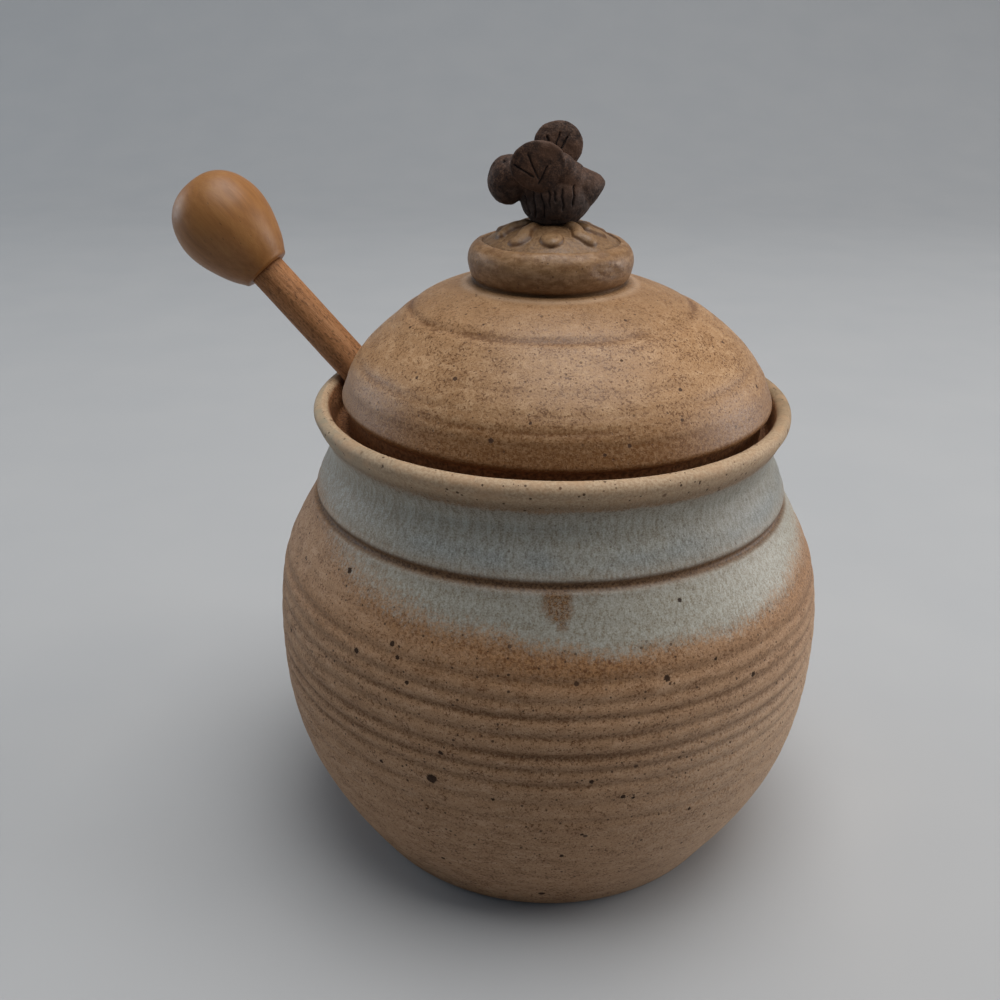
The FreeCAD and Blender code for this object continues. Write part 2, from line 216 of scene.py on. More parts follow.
def seg_dist(P, pts):
    """Distance of each point from a polyline, and how far along it the nearest point is (0 to 1)."""
    pts = np.asarray(pts, float)
    L = np.concatenate([[0], np.cumsum(np.linalg.norm(np.diff(pts, axis=0), axis=1))])
    best = np.full(len(P), 1e9)
    along = np.zeros(len(P))
    for i in range(len(pts) - 1):
        a, ab = pts[i], pts[i + 1] - pts[i]
        t = np.clip(((P - a) @ ab) / (ab @ ab), 0, 1)
        d = np.linalg.norm(P - a - t[:, None] * ab, axis=1)
        s = (L[i] + t * (L[i + 1] - L[i])) / L[-1]
        along = np.where(d < best, s, along)
        best = np.minimum(best, d)
    return best, along


# ---------------------------------------------------------------- materials
class Mat:
    """A small builder for node materials in object coordinates, in millimetres."""

    def __init__(self, name, local=False):
        self.m = bpy.data.materials.new(name)
        self.m.use_nodes = True
        self.t = self.m.node_tree
        self.t.nodes.clear()
        self.out = self.t.nodes.new("ShaderNodeOutputMaterial")
        self.b = self.t.nodes.new("ShaderNodeBsdfPrincipled")
        self.t.links.new(self.b.outputs[0], self.out.inputs[0])
        if local:
            at = self.t.nodes.new("ShaderNodeAttribute")
            at.attribute_name = "local"
            self.P = at.outputs["Vector"]
        else:
            tc = self.t.nodes.new("ShaderNodeTexCoord")
            self.P = self.vmath("SCALE", tc.outputs["Object"], scale=1000.0)
        sp = self.t.nodes.new("ShaderNodeSeparateXYZ")
        self.t.links.new(self.P, sp.inputs[0])
        self.X, self.Y, self.Z = sp.outputs

    def put(self, sock, v):
        if hasattr(v, "is_output") or isinstance(v, bpy.types.NodeSocket):
            self.t.links.new(v, sock)
        elif v is not None:
            if isinstance(v, (tuple, list)) and hasattr(sock.default_value, "__len__") and len(sock.default_value) == 4 and len(v) == 3:
                v = (*v, 1.0)
            sock.default_value = v

    def math(self, op, a, b=None, c=None, clamp=False):
        n = self.t.nodes.new("ShaderNodeMath")
        n.operation = op
        n.use_clamp = clamp
        for s, v in zip(n.inputs, (a, b, c)):
            self.put(s, v)
        return n.outputs[0]

    def vmath(self, op, a, b=None, scale=None):
        n = self.t.nodes.new("ShaderNodeVectorMath")
        n.operation = op
        self.put(n.inputs[0], a)
        if b is not None:
            self.put(n.inputs[1], b)
        if scale is not None:
            n.inputs["Scale"].default_value = scale
        return n.outputs["Value"] if op in ("DISTANCE", "LENGTH", "DOT_PRODUCT") else n.outputs[0]

    def stretch(self, sx, sy, sz, turn=(0, 0, 0)):
        n = self.t.nodes.new("ShaderNodeMapping")
        self.t.links.new(self.P, n.inputs[0])
        n.inputs["Scale"].default_value = (sx, sy, sz)
        n.inputs["Rotation"].default_value = turn
        return n.outputs[0]

    def noise(self, scale, detail=2.0, rough=0.5, vec=None, dist=0.0):
        n = self.t.nodes.new("ShaderNodeTexNoise")
        self.t.links.new(vec or self.P, n.inputs["Vector"])
        n.inputs["Scale"].default_value = scale
        n.inputs["Detail"].default_value = detail
        n.inputs["Roughness"].default_value = rough
        n.inputs["Distortion"].default_value = dist
        return n.outputs[0]

    def cells(self, scale, vec=None, feature="F1"):
        n = self.t.nodes.new("ShaderNodeTexVoronoi")
        n.feature = feature
        self.t.links.new(vec or self.P, n.inputs["Vector"])
        n.inputs["Scale"].default_value = scale
        sep = self.t.nodes.new("ShaderNodeSeparateColor")
        self.t.links.new(n.outputs["Color"], sep.inputs[0])
        return n.outputs["Distance"], sep.outputs

    def span(self, v, a, b, c=0.0, d=1.0, smooth=True):
        n = self.t.nodes.new("ShaderNodeMapRange")
        n.interpolation_type = "SMOOTHSTEP" if smooth else "LINEAR"
        n.clamp = True
        self.put(n.inputs[0], v)
        for s, x in zip(list(n.inputs)[1:5], (a, b, c, d)):
            self.put(s, x)
        return n.outputs[0]

    def mix(self, f, a, b, mode="MIX"):
        n = self.t.nodes.new("ShaderNodeMix")
        n.data_type = "RGBA"
        n.blend_type = mode
        n.clamp_factor = True
        self.put(n.inputs[0], f)
        self.put(n.inputs[6], a)
        self.put(n.inputs[7], b)
        return n.outputs[2]

    def ramp(self, f, *stops):
        n = self.t.nodes.new("ShaderNodeValToRGB")
        self.put(n.inputs[0], f)
        e = n.color_ramp.elements
        while len(e) < len(stops):
            e.new(0.5)
        for el, (p, c) in zip(e, stops):
            el.position = p
            el.color = (*c, 1.0)
        return n.outputs[0]

    def attr(self, name):
        n = self.t.nodes.new("ShaderNodeAttribute")
        n.attribute_name = name
        return n.outputs["Fac"]

    def specks(self, scale, lo, hi, share=1.0, vec=None, soft=0.6):
        """Round spots of mixed sizes: radius lo to hi (in cell widths), in a share of the cells."""
        d, rnd = self.cells(scale, vec)
        size = self.math("MULTIPLY_ADD", self.math("POWER", rnd[0], 3.0), hi - lo, lo)
        here = self.math("LESS_THAN", rnd[1], share)
        k = self.math("DIVIDE", d, size)
        return self.math("MULTIPLY", self.span(k, 1.0, 1.0 - soft), here)

    def spots(self, centres):
        """Spots at given places: (x, y, z, radius) in mm."""
        best = None
        for x, y, z, r in centres:
            d = self.vmath("DISTANCE", self.P, (x, y, z))
            k = self.math("DIVIDE", d, r)
            best = k if best is None else self.math("MINIMUM", best, k)
        return best

    def bump(self, height, strength, dist_mm, prev=None):
        n = self.t.nodes.new("ShaderNodeBump")
        n.inputs["Strength"].default_value = strength
        n.inputs["Distance"].default_value = dist_mm * MM
        self.put(n.inputs["Height"], height)
        if prev is not None:
            self.t.links.new(prev, n.inputs["Normal"])
        return n.outputs[0]

    def finish(self, color, rough, normal=None, **const):
        self.put(self.b.inputs["Base Color"], color)
        self.put(self.b.inputs["Roughness"], rough)
        if normal is not None:
            self.t.links.new(normal, self.b.inputs["Normal"])
        for k, v in const.items():
            self.b.inputs[k].default_value = v
        return self.m


def on_pot(deg, z, radius_at):
    a = math.radians(deg)
    r = float(radius_at(z))
    return (r * math.sin(a), -r * math.cos(a), z)


# ---------------------------------------------------------------------- pot
outer = [(42.0, 0.0), (43.3, 0.22), (44.35, 0.9), (45.1, 1.9), (45.9, 3.3), (48.3, 7.4), (52.75, 15.5),
         (56.85, 25.3), (59.2, 35.8), (60.05, 46.4), (59.8, 57.0), (57.95, 67.6), (53.6, 76.4),
         (51.5, 79.9), (50.7, 81.4), (50.35, 82.8), (49.3, 85.9), (47.5, 89.6), (46.95, 91.6),
         (47.2, 93.4), (47.9, 95.2), (48.8, 96.9), (49.55, 98.3), (49.97, 99.6), (49.85, 100.5),
         (49.35, 101.1), (48.6, 101.35), (47.75, 101.25), (47.05, 100.8), (46.65, 100.1),
         (46.35, 99.0), (46.0, 97.4), (45.8, 96.3), (45.6, 95.6), (45.2, 95.25)]
inner = [(42.4, 95.2), (41.95, 94.95), (41.75, 94.3), (41.6, 92.4), (41.4, 88.6), (42.3, 85.0),
         (45.0, 81.6), (49.0, 75.8), (51.6, 70.0), (53.6, 63.0), (54.2, 56.0), (54.3, 45.0),
         (53.4, 33.0), (50.7, 22.5), (46.4, 14.0), (44.6, 10.9), (42.3, 8.8), (39.2, 7.3), (36.0, 6.8)]


def resample(curve, wanted):
    """Points along a dense curve, with the spacing that wanted(r, z) asks for."""
    s = np.concatenate([[0], np.cumsum(np.linalg.norm(np.diff(curve, axis=0), axis=1))])
    u, out = 0.0, [curve[0]]
    while True:
        r, z = np.interp(u, s, curve[:, 0]), np.interp(u, s, curve[:, 1])
        u += wanted(r, z)
        if u >= s[-1]:
            break
        out.append(np.array([np.interp(u, s, curve[:, 0]), np.interp(u, s, curve[:, 1])]))
    out.append(curve[-1])
    return np.array(out)


co_dense = spline(outer, 0.1)
rim_i = int(np.argmax(co_dense[:, 1]))
pot_r = lambda z: np.interp(z, co_dense[:rim_i, 1], co_dense[:rim_i, 0])


def outer_step(r, z):
    if 79.5 < z < 84.2:
        return 0.26
    if z > 94.0:
        return 0.42
    if 29.0 < z < 76.0:
        return 0.42
    if z < 4.0:
        return 0.45
    return 0.9


po = resample(co_dense, outer_step)
pi_ = resample(spline(inner, 0.2), lambda r, z: 3.4 if z < 88 else 0.6)
pot_prof = np.vstack([[(0, 0)], [(14, 0)], [(28, 0)], [(38, 0)], po, [(43.8, 95.2)], pi_, [(24, 6.8)], [(12, 6.8)], [(0, 6.8)]])
n_foot = 4
i_top = n_foot + int(np.argmax(po[:, 1]))
i_in = n_foot + len(po)

# Throwing rings: valley heights at the front, how deep each is, going down by one ring a turn.
VZ = np.array([80.0, 76.0, 71.2, 66.7, 63.0, 59.9, 55.9, 51.8, 48.6, 45.2, 40.7, 36.0, 31.6, 27.2, 22.5, 17.5])
VA = np.array([0.0, 0.04, 0.10, 0.36, 0.34, 0.46, 0.38, 0.56, 0.46, 0.42, 0.22, 0.24, 0.09, 0.07, 0.04, 0.0])
VW = np.array([1.0, 1.0, 1.0, 1.05, 0.85, 0.75, 0.85, 0.95, 0.8, 0.8, 0.95, 0.9, 1.1, 1.2, 1.2, 1.2])


def rings(F, Z):
    tot = np.zeros_like(F)
    k_axis = np.arange(len(VZ))
    for k in range(-1, len(VZ)):
        t = np.clip(k + F / (2 * math.pi), 0, len(VZ) - 1)
        zk = np.interp(t, k_axis, VZ) + 0.22 * vnoise(np.sin(F) * 1.4 + 5, np.cos(F) * 1.4, k * 3.1, 3)
        ak = np.interp(t, k_axis, VA) * (0.95 + 0.35 * vnoise(np.sin(F) * 2.2, np.cos(F) * 2.2, k * 1.7 + 9, 5))
        wk = np.interp(t, k_axis, VW)
        tot = tot + ak * np.exp(-np.abs((Z - zk) / wk) ** 2.2)
    return tot


def pot_disp(F, R, Z, NR, NZ, I):
    sx, cy = np.sin(F), np.cos(F)
    out = (I <= i_top).astype(float)
    side = out * sstep(1.5, 8.0, Z)
    d = -rings(F, Z) * out
    d = d + side * 0.22 * fbm(sx * 1.1, cy * 1.1, Z * 0.028, 11, 2)
    d = d + side * 0.05 * fbm(sx * 6, cy * 6, Z * 0.16, 12, 2)
    # the incised line at the foot of the neck, with a low lip above it
    zl = 81.85 + 0.12 * vnoise(sx * 1.2, cy * 1.2, 0.3, 21)
    d = d - out * 0.62 * np.exp(-np.abs((Z - zl) / 0.75) ** 3.0)
    d = d + out * 0.14 * bell(Z, zl + 1.5, 0.6) + out * 0.08 * bell(Z, zl - 1.4, 0.5)
    # faint rings on the neck
    d = d + side * sstep(83, 85, Z) * 0.05 * np.sin(Z * 2.1 + F * 1.0)
    # rim: slightly uneven thickness and height
    rim = sstep(95.0, 100.0, Z) * (I <= i_in)
    d = d + rim * 0.16 * fbm(sx * 2.0, cy * 2.0, Z * 0.2, 31, 2)
    dz = rim * 0.22 * fbm(sx * 1.3, cy * 1.3, 0.7, 33, 2)
    return d, 0.0, 0.0, dz


def glaze_edge(F):
    """Height of the pale glaze's lower edge round the pot."""
    deg = np.degrees(F)
    a = np.array([-180, -150, -120, -90, -75, -64, -53, -42, -30, -20, -10, 0, 10, 20, 30, 40, 50, 60, 70, 85, 110, 140, 180])
    h = np.array([74.5, 76.0, 80.0, 84.0, 84.2, 83.2, 80.4, 76.9, 75.2, 74.6, 73.8, 72.7, 72.0, 71.6, 71.1, 71.6, 72.2, 73.6, 75.0, 75.6, 74.6, 73.2, 74.5])
    return np.interp(deg, a, h)


def pot_attr(F, R, Z, I):
    sx, cy = np.sin(F), np.cos(F)
    out = (I <= i_top).astype(float)
    zl = 81.85 + 0.12 * vnoise(sx * 1.2, cy * 1.2, 0.3, 21)
    edge = glaze_edge(F)
    wob = 0.8 * fbm(sx * 5, cy * 5, 0.2, 41, 3) + 0.35 * fbm(sx * 16, cy * 16, 0.9, 42, 2)
    deg = np.degrees(F)
    gw = np.interp(deg, [-180, -100, -70, -48, -35, -15, 20, 45, 60, 75, 100, 180], [2.6, 2.6, 3.2, 3.8, 3.0, 1.7, 1.5, 1.7, 2.6, 3.4, 2.6, 2.6])
    gd = np.clip(Z - edge - wob, -12, 12)
    gl = sstep(-0.9, 1.1, gd)
    # the brown run under the line, and the upper neck where the glaze thins to tan
    wid = np.interp(Z, [75.0, 76.2, 77.4, 78.2, 79.5, 81.5], [0.5, 0.9, 2.2, 2.9, 2.7, 2.5]) + 0.7 * fbm(sx * 12, cy * 12, Z * 0.8, 46, 2)
    cen = np.interp(Z, [75.0, 76.0, 78.0, 81.5], [0.6, 0.2, -0.4, -0.5])
    run = sstep(1.25, 0.70, np.abs(deg - cen) / wid) * sstep(74.9, 75.9, Z) * (Z < zl) * out
    line = np.exp(-np.abs((Z - zl - 0.1) / 1.0) ** 4.0) * out
    halo = np.exp(-((Z - zl - 0.5) / 1.9) ** 2) * out * 0.75
    high = sstep(92.2, 97.2, Z + 0.9 * fbm(sx * 7, cy * 7, 0.4, 43, 3))
    gl = gl * (1 - high) * out
    gd = np.where(out > 0, np.minimum(gd, (1 - high) * 14 - 4), -12.0)
    blue = bell(Z, 86.2, 2.6) * out * (1.0 - 0.65 * sstep(-25, -60, deg) * sstep(-150, -110, deg))
    rust = bell(Z, edge - 2.3, 2.5) * (0.7 + 0.5 * fbm(sx * 3, cy * 3, Z * 0.1, 44, 3))
    rust = rust + 0.75 * bell(Z, 68.0, 3.2) * (0.55 + 0.5 * fbm(sx * 2.0, cy * 2.0, Z * 0.05 + 4, 45, 2))
    rust = rust * (1 - 0.62 * sstep(8, 36, deg) * sstep(160, 120, deg))
    rust = rust + 0.55 * bell(deg, 66, 18) * bell(Z, 69.5, 3.8)
    rust = np.clip(rust * out * (1 - gl) * 0.85, 0, 1)
    patchy = 0.78 + 0.75 * fbm(sx * 4.5, cy * 4.5, Z * 0.22, 47, 3)
    ring = np.clip(rings(F, Z) / 0.50 * patchy, 0, 1) ** 0.8 * out
    thin = sstep(-22, -58, deg) * sstep(-170, -120, deg) * (0.75 + 0.6 * fbm(sx * 3, cy * 3, Z * 0.1, 48, 3)) * out
    rim = high * (I <= i_in) * sstep(96.0, 98.5, Z)
    # painted shade: the glaze darker on the right of the neck above the line and at the front below it
    painted_glaze_shade = 0.20 * sstep(10, 42, deg) * sstep(165, 130, deg) * sstep(zl, zl + 1.5, Z)
    painted_glaze_shade = painted_glaze_shade + 0.17 * bell(deg, -4, 24) * sstep(zl, zl - 1.5, Z)
    # painted light: a paler patch on the lower right of the belly
    painted_light_lower_right = sstep(2, 40, deg) * sstep(165, 130, deg) * sstep(66, 44, Z) * out
    # painted shade: the right side of the rim darker
    painted_rim_shade_right = sstep(48, 84, deg) * sstep(165, 130, deg) * (0.8 + 0.4 * fbm(sx * 3, cy * 3, Z * 0.2, 49, 2))
    gal = ((I > i_top) & (Z < 100.35)).astype(float) + ((I > i_top) & (Z >= 100.35)) * sstep(47.2, 46.7, R)
    ins = (I > i_in).astype(float)
    pale = 1.0 - sstep(8, 60, Z)
    return {"glaze": gd, "glaze_w": gw, "run": run, "line": line, "halo": halo, "high": high, "blue": blue,
            "painted_glaze_shade": np.clip(painted_glaze_shade, 0, 1), "painted_light_lower_right": np.clip(painted_light_lower_right, 0, 1), "thin": np.clip(thin, 0, 1), "painted_rim_shade_right": np.clip(painted_rim_shade_right, 0, 1), "rust": rust, "ring": ring, "rim": rim, "gallery": np.clip(gal, 0, 1), "inside": ins}


pot = lathe("pot_thrown", pot_prof, 352, pot_disp, pot_attr, AXIS)


def stoneware(name, light, mid, dark, pep, gather, *dense):
    """Tan body: soft mottling, paler worn patches, and warm brown pepper that gathers in patches and hollows."""
    m = Mat(name)
    grain = m.noise(1.9, 3.0, 0.62)                      # about half a millimetre
    fine = m.noise(4.6, 2.0, 0.5)
    mott = m.noise(0.30, 3.0, 0.55, m.stretch(1.0, 1.0, 1.6))
    broad = m.noise(0.045, 2.0, 0.5)
    g = m.math("MULTIPLY_ADD", fine, 0.4, m.math("MULTIPLY", grain, 0.6))
    c = m.ramp(g, (0.38, dark), (0.5, mid), (0.62, light))
    c = m.mix(m.span(mott, 0.40, 0.64, 0.0, 0.6), c, tuple(x * k for x, k in zip(mid, (0.86, 0.82, 0.77))))
    worn = m.span(m.noise(0.34, 3.0, 0.65, m.stretch(1.0, 1.0, 2.0)), 0.50, 0.64)
    c = m.mix(m.math("MULTIPLY", worn, 0.55), c, tuple(x * k for x, k in zip(light, (1.09, 1.13, 1.20))))
    c = m.mix(m.span(broad, 0.35, 0.65, 0.0, 0.25), c, (mid[0] * 1.10, mid[1] * 1.08, mid[2] * 1.06))
    patch = m.span(m.noise(0.20, 4.0, 0.65, m.stretch(1.0, 1.0, 2.2)), 0.40, 0.66, 0.5 - 0.5 * gather, 0.5 + 0.5 * gather)
    for k, a in dense:
        patch = m.math("MAXIMUM", patch, m.math("MULTIPLY", m.attr(k), a))
    soft = m.math("MULTIPLY", patch, 0.34)
    c = m.mix(soft, c, tuple(x * k for x, k in zip(mid, (0.62, 0.54, 0.44))))
    p1 = m.math("MULTIPLY_ADD", patch, 0.085, m.noise(1.95, 3.0, 0.72))
    dust = m.math("MULTIPLY_ADD", patch, 0.06, m.noise(3.3, 2.0, 0.6))
    c = m.mix(m.math("MULTIPLY", m.span(dust, 0.575, 0.625), 0.42), c, tuple(x * k for x, k in zip(mid, (0.50, 0.42, 0.33))))
    p2 = m.math("MULTIPLY_ADD", patch, 0.10, m.noise(0.95, 3.0, 0.7, m.stretch(1.0, 1.0, 2.4)))
    pepper = m.math("MAXIMUM", m.span(p1, 0.612, 0.642), m.math("MULTIPLY", m.span(p2, 0.635, 0.675), 0.75 if gather < 0.7 else 0.45))
    c = m.mix(m.math("MULTIPLY", pepper, 0.86), c, pep)
    return m, c, grain, fine, mott, broad


# colours, linear
TAN_L, TAN_M, TAN_D = (0.430, 0.268, 0.156), (0.365, 0.218, 0.121), (0.300, 0.170, 0.086)

spots_pot = [(-23, 43.2, 1.0), (-40, 65.0, 0.55), (-48, 77.1, 0.55), (-28, 62.8, 0.4), (-32, 69.0, 0.5),
             (-30.5, 66.9, 0.45), (19.5, 66.0, 0.6), (39, 60.9, 0.5), (-21, 49.9, 0.5), (6, 46.4, 0.45),
             (-11.5, 41.0, 0.45), (12, 41.9, 0.5), (14, 41.2, 0.38), (-34, 42.8, 0.4), (-66, 56.8, 0.55),
             (54.5, 49.0, 0.45), (30, 67.0, 0.4), (1.5, 26.0, 0.4), (5, 32.6, 0.35), (-24, 18.2, 0.45),
             (26.5, 34.2, 0.35), (24.5, 78.0, 0.38), (-2, 7.9, 0.7), (112, 52, 0.7), (150, 38, 0.8),
             (-120, 61, 0.6), (-165, 46, 0.7), (170, 68, 0.5), (-100, 30, 0.55), (85, 28, 0.5)]
m, c, grain, fine, mott, broad = stoneware("pot_stoneware", TAN_L, TAN_M, TAN_D, (0.108, 0.041, 0.012), 0.8, ("ring", 1.45), ("rust", 1.05))
# valleys keep more of the brown wash, ridges are rubbed paler
ring_f = m.math("MULTIPLY", m.attr("ring"), m.span(grain, 0.40, 0.60, 1.0, 0.30))
c = m.mix(m.math("MULTIPLY", ring_f, 0.50), c, m.ramp(fine, (0.4, (0.115, 0.052, 0.019)), (0.62, (0.225, 0.120, 0.056))))
# painted light: the lower right of the belly made paler
c = m.mix(m.math("MULTIPLY", m.attr("painted_light_lower_right"), m.span(grain, 0.40, 0.56, 0.12, 0.50)), c, (0.475, 0.350, 0.245))
rust = m.math("MULTIPLY", m.attr("rust"), m.span(m.noise(0.9, 3.0, 0.6), 0.36, 0.6, 0.45, 1.0))
c = m.mix(m.math("MULTIPLY", rust, 0.72), c, m.ramp(grain, (0.44, (0.140, 0.052, 0.013)), (0.54, (0.318, 0.154, 0.058))))
rustdots = m.math("MULTIPLY", m.specks(0.9, 0.12, 0.42, 0.5, soft=0.35), m.attr("rust"))
c = m.mix(m.math("MULTIPLY", rustdots, 0.8), c, (0.105, 0.036, 0.010))
# pale blue-grey glaze: milky, with darker pinholes and long runs
streak = m.noise(1.5, 3.0, 0.55, m.stretch(1.0, 1.0, 0.07))
gg = m.math("MULTIPLY_ADD", m.noise(3.2, 2.0, 0.6), 0.55, m.math("MULTIPLY", streak, 0.45))
gc = m.ramp(gg, (0.37, (0.21, 0.172, 0.118)), (0.5, (0.315, 0.293, 0.240)), (0.63, (0.395, 0.382, 0.330)))
bc = m.ramp(gg, (0.37, (0.165, 0.158, 0.136)), (0.5, (0.268, 0.272, 0.250)), (0.63, (0.365, 0.375, 0.352)))
gc = m.mix(m.math("MULTIPLY", m.attr("blue"), m.span(m.noise(0.12, 2.0, 0.5), 0.3, 0.65, 0.35, 1.0)), gc, bc)
# painted shade: the glaze darkened on the neck's right and at the front below the line
gc = m.mix(m.attr("painted_glaze_shade"), gc, (0.0, 0.0, 0.0))
gdots = m.specks(1.7, 0.06, 0.34, 0.6)
gc = m.mix(m.math("MULTIPLY", gdots, 0.55), gc, (0.13, 0.12, 0.09))
g_ = m.noise(2.3, 3.0, 0.7)
gm = m.math("DIVIDE", m.attr("glaze"), m.attr("glaze_w"))
gj = m.math("ADD", m.math("MULTIPLY", m.math("SUBTRACT", g_, 0.5), 3.6), m.math("MULTIPLY", m.math("SUBTRACT", streak, 0.5), 2.4))
gmask = m.span(m.math("ADD", gm, gj), -1.3, 1.3)
c = m.mix(gmask, c, gc)
c = m.mix(m.math("MULTIPLY", m.math("MULTIPLY", m.attr("thin"), m.span(gg, 0.40, 0.62, 0.55, 0.15)), gmask), c, (0.235, 0.165, 0.098))
# thin glaze on the upper neck: tan with long runs
hi = m.math("MULTIPLY", m.attr("high"), m.span(streak, 0.35, 0.62, 0.75, 1.0))
c = m.mix(m.math("MULTIPLY", hi, 0.85), c, m.mix(m.math("MULTIPLY", m.attr("thin"), 0.6), m.ramp(gg, (0.38, (0.105, 0.067, 0.036)), (0.60, (0.255, 0.192, 0.130))), (0.215, 0.182, 0.128)))
# warm margin, line and run
c = m.mix(m.math("MULTIPLY", m.attr("halo"), m.span(grain, 0.35, 0.6, 0.8, 0.25)), c, (0.24, 0.155, 0.10))
c = m.mix(m.math("MULTIPLY", m.attr("run"), m.span(grain, 0.4, 0.6, 1.0, 0.6)), c, m.ramp(fine, (0.42, (0.085, 0.038, 0.014)), (0.58, (0.220, 0.118, 0.052))))
c = m.mix(m.attr("line"), c, m.ramp(grain, (0.38, (0.070, 0.032, 0.012)), (0.60, (0.185, 0.098, 0.045))))
# rim: bare tan clay with rust freckles
rimc = m.ramp(grain, (0.38, (0.325, 0.212, 0.122)), (0.60, (0.450, 0.325, 0.208)))
rimc = m.mix(m.math("MULTIPLY", m.attr("thin"), m.span(m.noise(0.25, 3.0, 0.6), 0.38, 0.60, 0.85, 0.45)), rimc, (0.245, 0.205, 0.140))
# painted shade: the rim darkened on its right side
rimc = m.mix(m.math("MULTIPLY", m.attr("painted_rim_shade_right"), 0.95), rimc, (0.195, 0.130, 0.068))
rimb = m.span(m.noise(0.22, 3.0, 0.65, m.stretch(1.0, 1.0, 1.6)), 0.46, 0.62)
rimc = m.mix(m.math("MULTIPLY", rimb, 0.45), rimc, (0.400, 0.248, 0.138))
c = m.mix(m.attr("rim"), c, rimc)
rdots = m.math("MULTIPLY", m.specks(0.50, 0.06, 0.34, 0.40, vec=m.stretch(1.0, 1.0, 0.62), soft=0.45), m.attr("rim"))
c = m.mix(m.math("MULTIPLY", rdots, 0.85), c, (0.085, 0.032, 0.010))
# dark specks of iron everywhere
sp = m.math("MAXIMUM", m.specks(1.1, 0.05, 0.40, 0.55, soft=0.4), m.specks(0.34, 0.05, 0.20, 0.32, soft=0.35))
sp = m.math("MULTIPLY", sp, m.math("SUBTRACT", 1.0, m.math("MULTIPLY", gmask, 0.62)))
c = m.mix(m.math("MULTIPLY", sp, 0.88), c, (0.050, 0.021, 0.008))
places = [(*on_pot(a, z, pot_r), r) for a, z, r in spots_pot]
big = m.spots(places)
bigm = m.span(m.math("ADD", big, m.math("MULTIPLY", m.math("SUBTRACT", fine, 0.5), 1.2)), 1.25, 0.95)
c = m.mix(m.math("MULTIPLY", bigm, 0.95), c, (0.024, 0.010, 0.004))
# gallery and inside: brown glaze
inc = m.ramp(m.noise(1.9, 3.0, 0.7), (0.38, (0.070, 0.024, 0.009)), (0.50, (0.22, 0.092, 0.038)), (0.64, (0.42, 0.215, 0.110)))
c = m.mix(m.attr("gallery"), c, inc)
rough = m.math("SUBTRACT", 0.66, m.math("MULTIPLY", gmask, 0.2))
rough = m.math("SUBTRACT", rough, m.math("MULTIPLY", m.attr("gallery"), 0.28))
rough = m.math("MULTIPLY_ADD", m.math("SUBTRACT", grain, 0.5), 0.3, rough)
hgt = m.math("ADD", m.math("MULTIPLY", grain, 1.0), m.math("MULTIPLY", fine, 0.5))
hgt = m.math("SUBTRACT", hgt, m.math("MULTIPLY", sp, 0.9))
hgt = m.math("SUBTRACT", hgt, m.math("MULTIPLY", bigm, 0.5))
rough = m.math("MULTIPLY_ADD", bigm, 0.3, rough)
nrm = m.bump(hgt, 0.55, 0.11)
pot_mat = m.finish(c, rough, nrm, **{"Specular IOR Level": 0.26})
pot.data.materials.append(pot_mat)

# ---------------------------------------------------------------------- lid
lid_out = [(43.3, 95.2), (43.4, 96.5), (43.42, 99.2), (43.5, 100.4), (43.85, 101.0), (44.4, 101.5),
           (44.6, 102.1), (44.35, 103.0), (43.9, 104.3), (43.05, 106.8), (40.9, 110.3), (37.3, 114.0), (32.1, 118.15),
           (26.9, 121.45), (22.0, 123.5), (18.2, 124.6), (16.5, 125.0), (15.85, 125.12)]
knob = [(15.35, 125.2), (15.2, 125.45), (15.5, 125.75), (16.15, 126.6), (16.7, 128.4), (16.85, 129.6), (16.55, 131.1),
        (15.8, 132.3), (14.8, 133.0), (13.95, 133.2), (13.55, 133.0), (13.3, 132.98), (12.6, 133.35), (11.0, 134.25),
        (9.0, 135.15), (6.5, 136.05), (4.4, 136.55), (3.0, 136.6)]
lid_in = [(31.0, 113.2), (34.6, 110.2), (37.0, 106.8), (38.3, 102.0), (38.8, 97.0), (39.2, 95.5), (40.0, 95.2)]
crown = [(r, z) for r, z in spline([(5.0, 121.05), (12.0, 120.4), (19.0, 118.9), (25.5, 116.4), (31.0, 113.2)], 1.8)]
ld = spline(lid_out + knob, 0.08)


def lid_step(r, z):
    if r > 43.0 or 124.4 < z < 126.5 or (12.4 < r < 15.0 and z > 131):
        return 0.3
    if z > 131.0:
        return 0.3
    return 0.5


lo = resample(ld, lid_step)
li = resample(spline(crown + lid_in[1:], 0.2), lambda r, z: 1.5)
lid_prof = np.vstack([[(0, 121.2)], li, lo, [(1.5, 136.6)], [(0, 136.6)]])
l_in = len(li)
PETALS = [-2.0, 41.0, 74.0, 110.0, 145.0, 180.0, -145.0, -108.0, -73.0, -41.0]


def petal_rise(F, R, Z):
    d = np.zeros_like(F)
    deg = np.degrees(F)
    for i, a in enumerate(PETALS):
        da = (deg - a + 180) % 360 - 180
        across = R * np.sin(np.radians(np.clip(da, -80, 80)))
        if i == 0:                       # the front one is a round pressed pad
            q = np.hypot(across / 2.35, (R - 9.8) / 2.2)
            d = np.maximum(d, 1.0 * np.clip(1 - q ** 2.8, 0, 1) ** 0.5)
            continue
        w = (1.86 + 0.25 * math.sin(i * 3.1)) * (0.62 + 0.38 * sstep(4.0, 9.5, R))
        end = 11.9 + 0.5 * math.sin(i * 2.3)
        lean = across + 0.45 * np.sin(R * 0.62 + i * 1.9) + 0.25 * np.sin(R * 1.5 + i)
        q = np.hypot(lean, np.maximum(0.0, R - (end - 1.5)) * (w / 1.5)) / w
        d = np.maximum(d, np.clip(1 - q ** 2.0, 0, 1) ** 0.85 * (0.92 + 0.18 * math.sin(i * 1.7)))
    d = d * (0.88 + 0.30 * vnoise(np.sin(F) * R * 0.45, np.cos(F) * R * 0.45, 2.0, 75))
    return d * sstep(3.0, 5.5, R) * (Z > 132.4)


def deg_(F):
    return (np.degrees(F) + 180) % 360 - 180


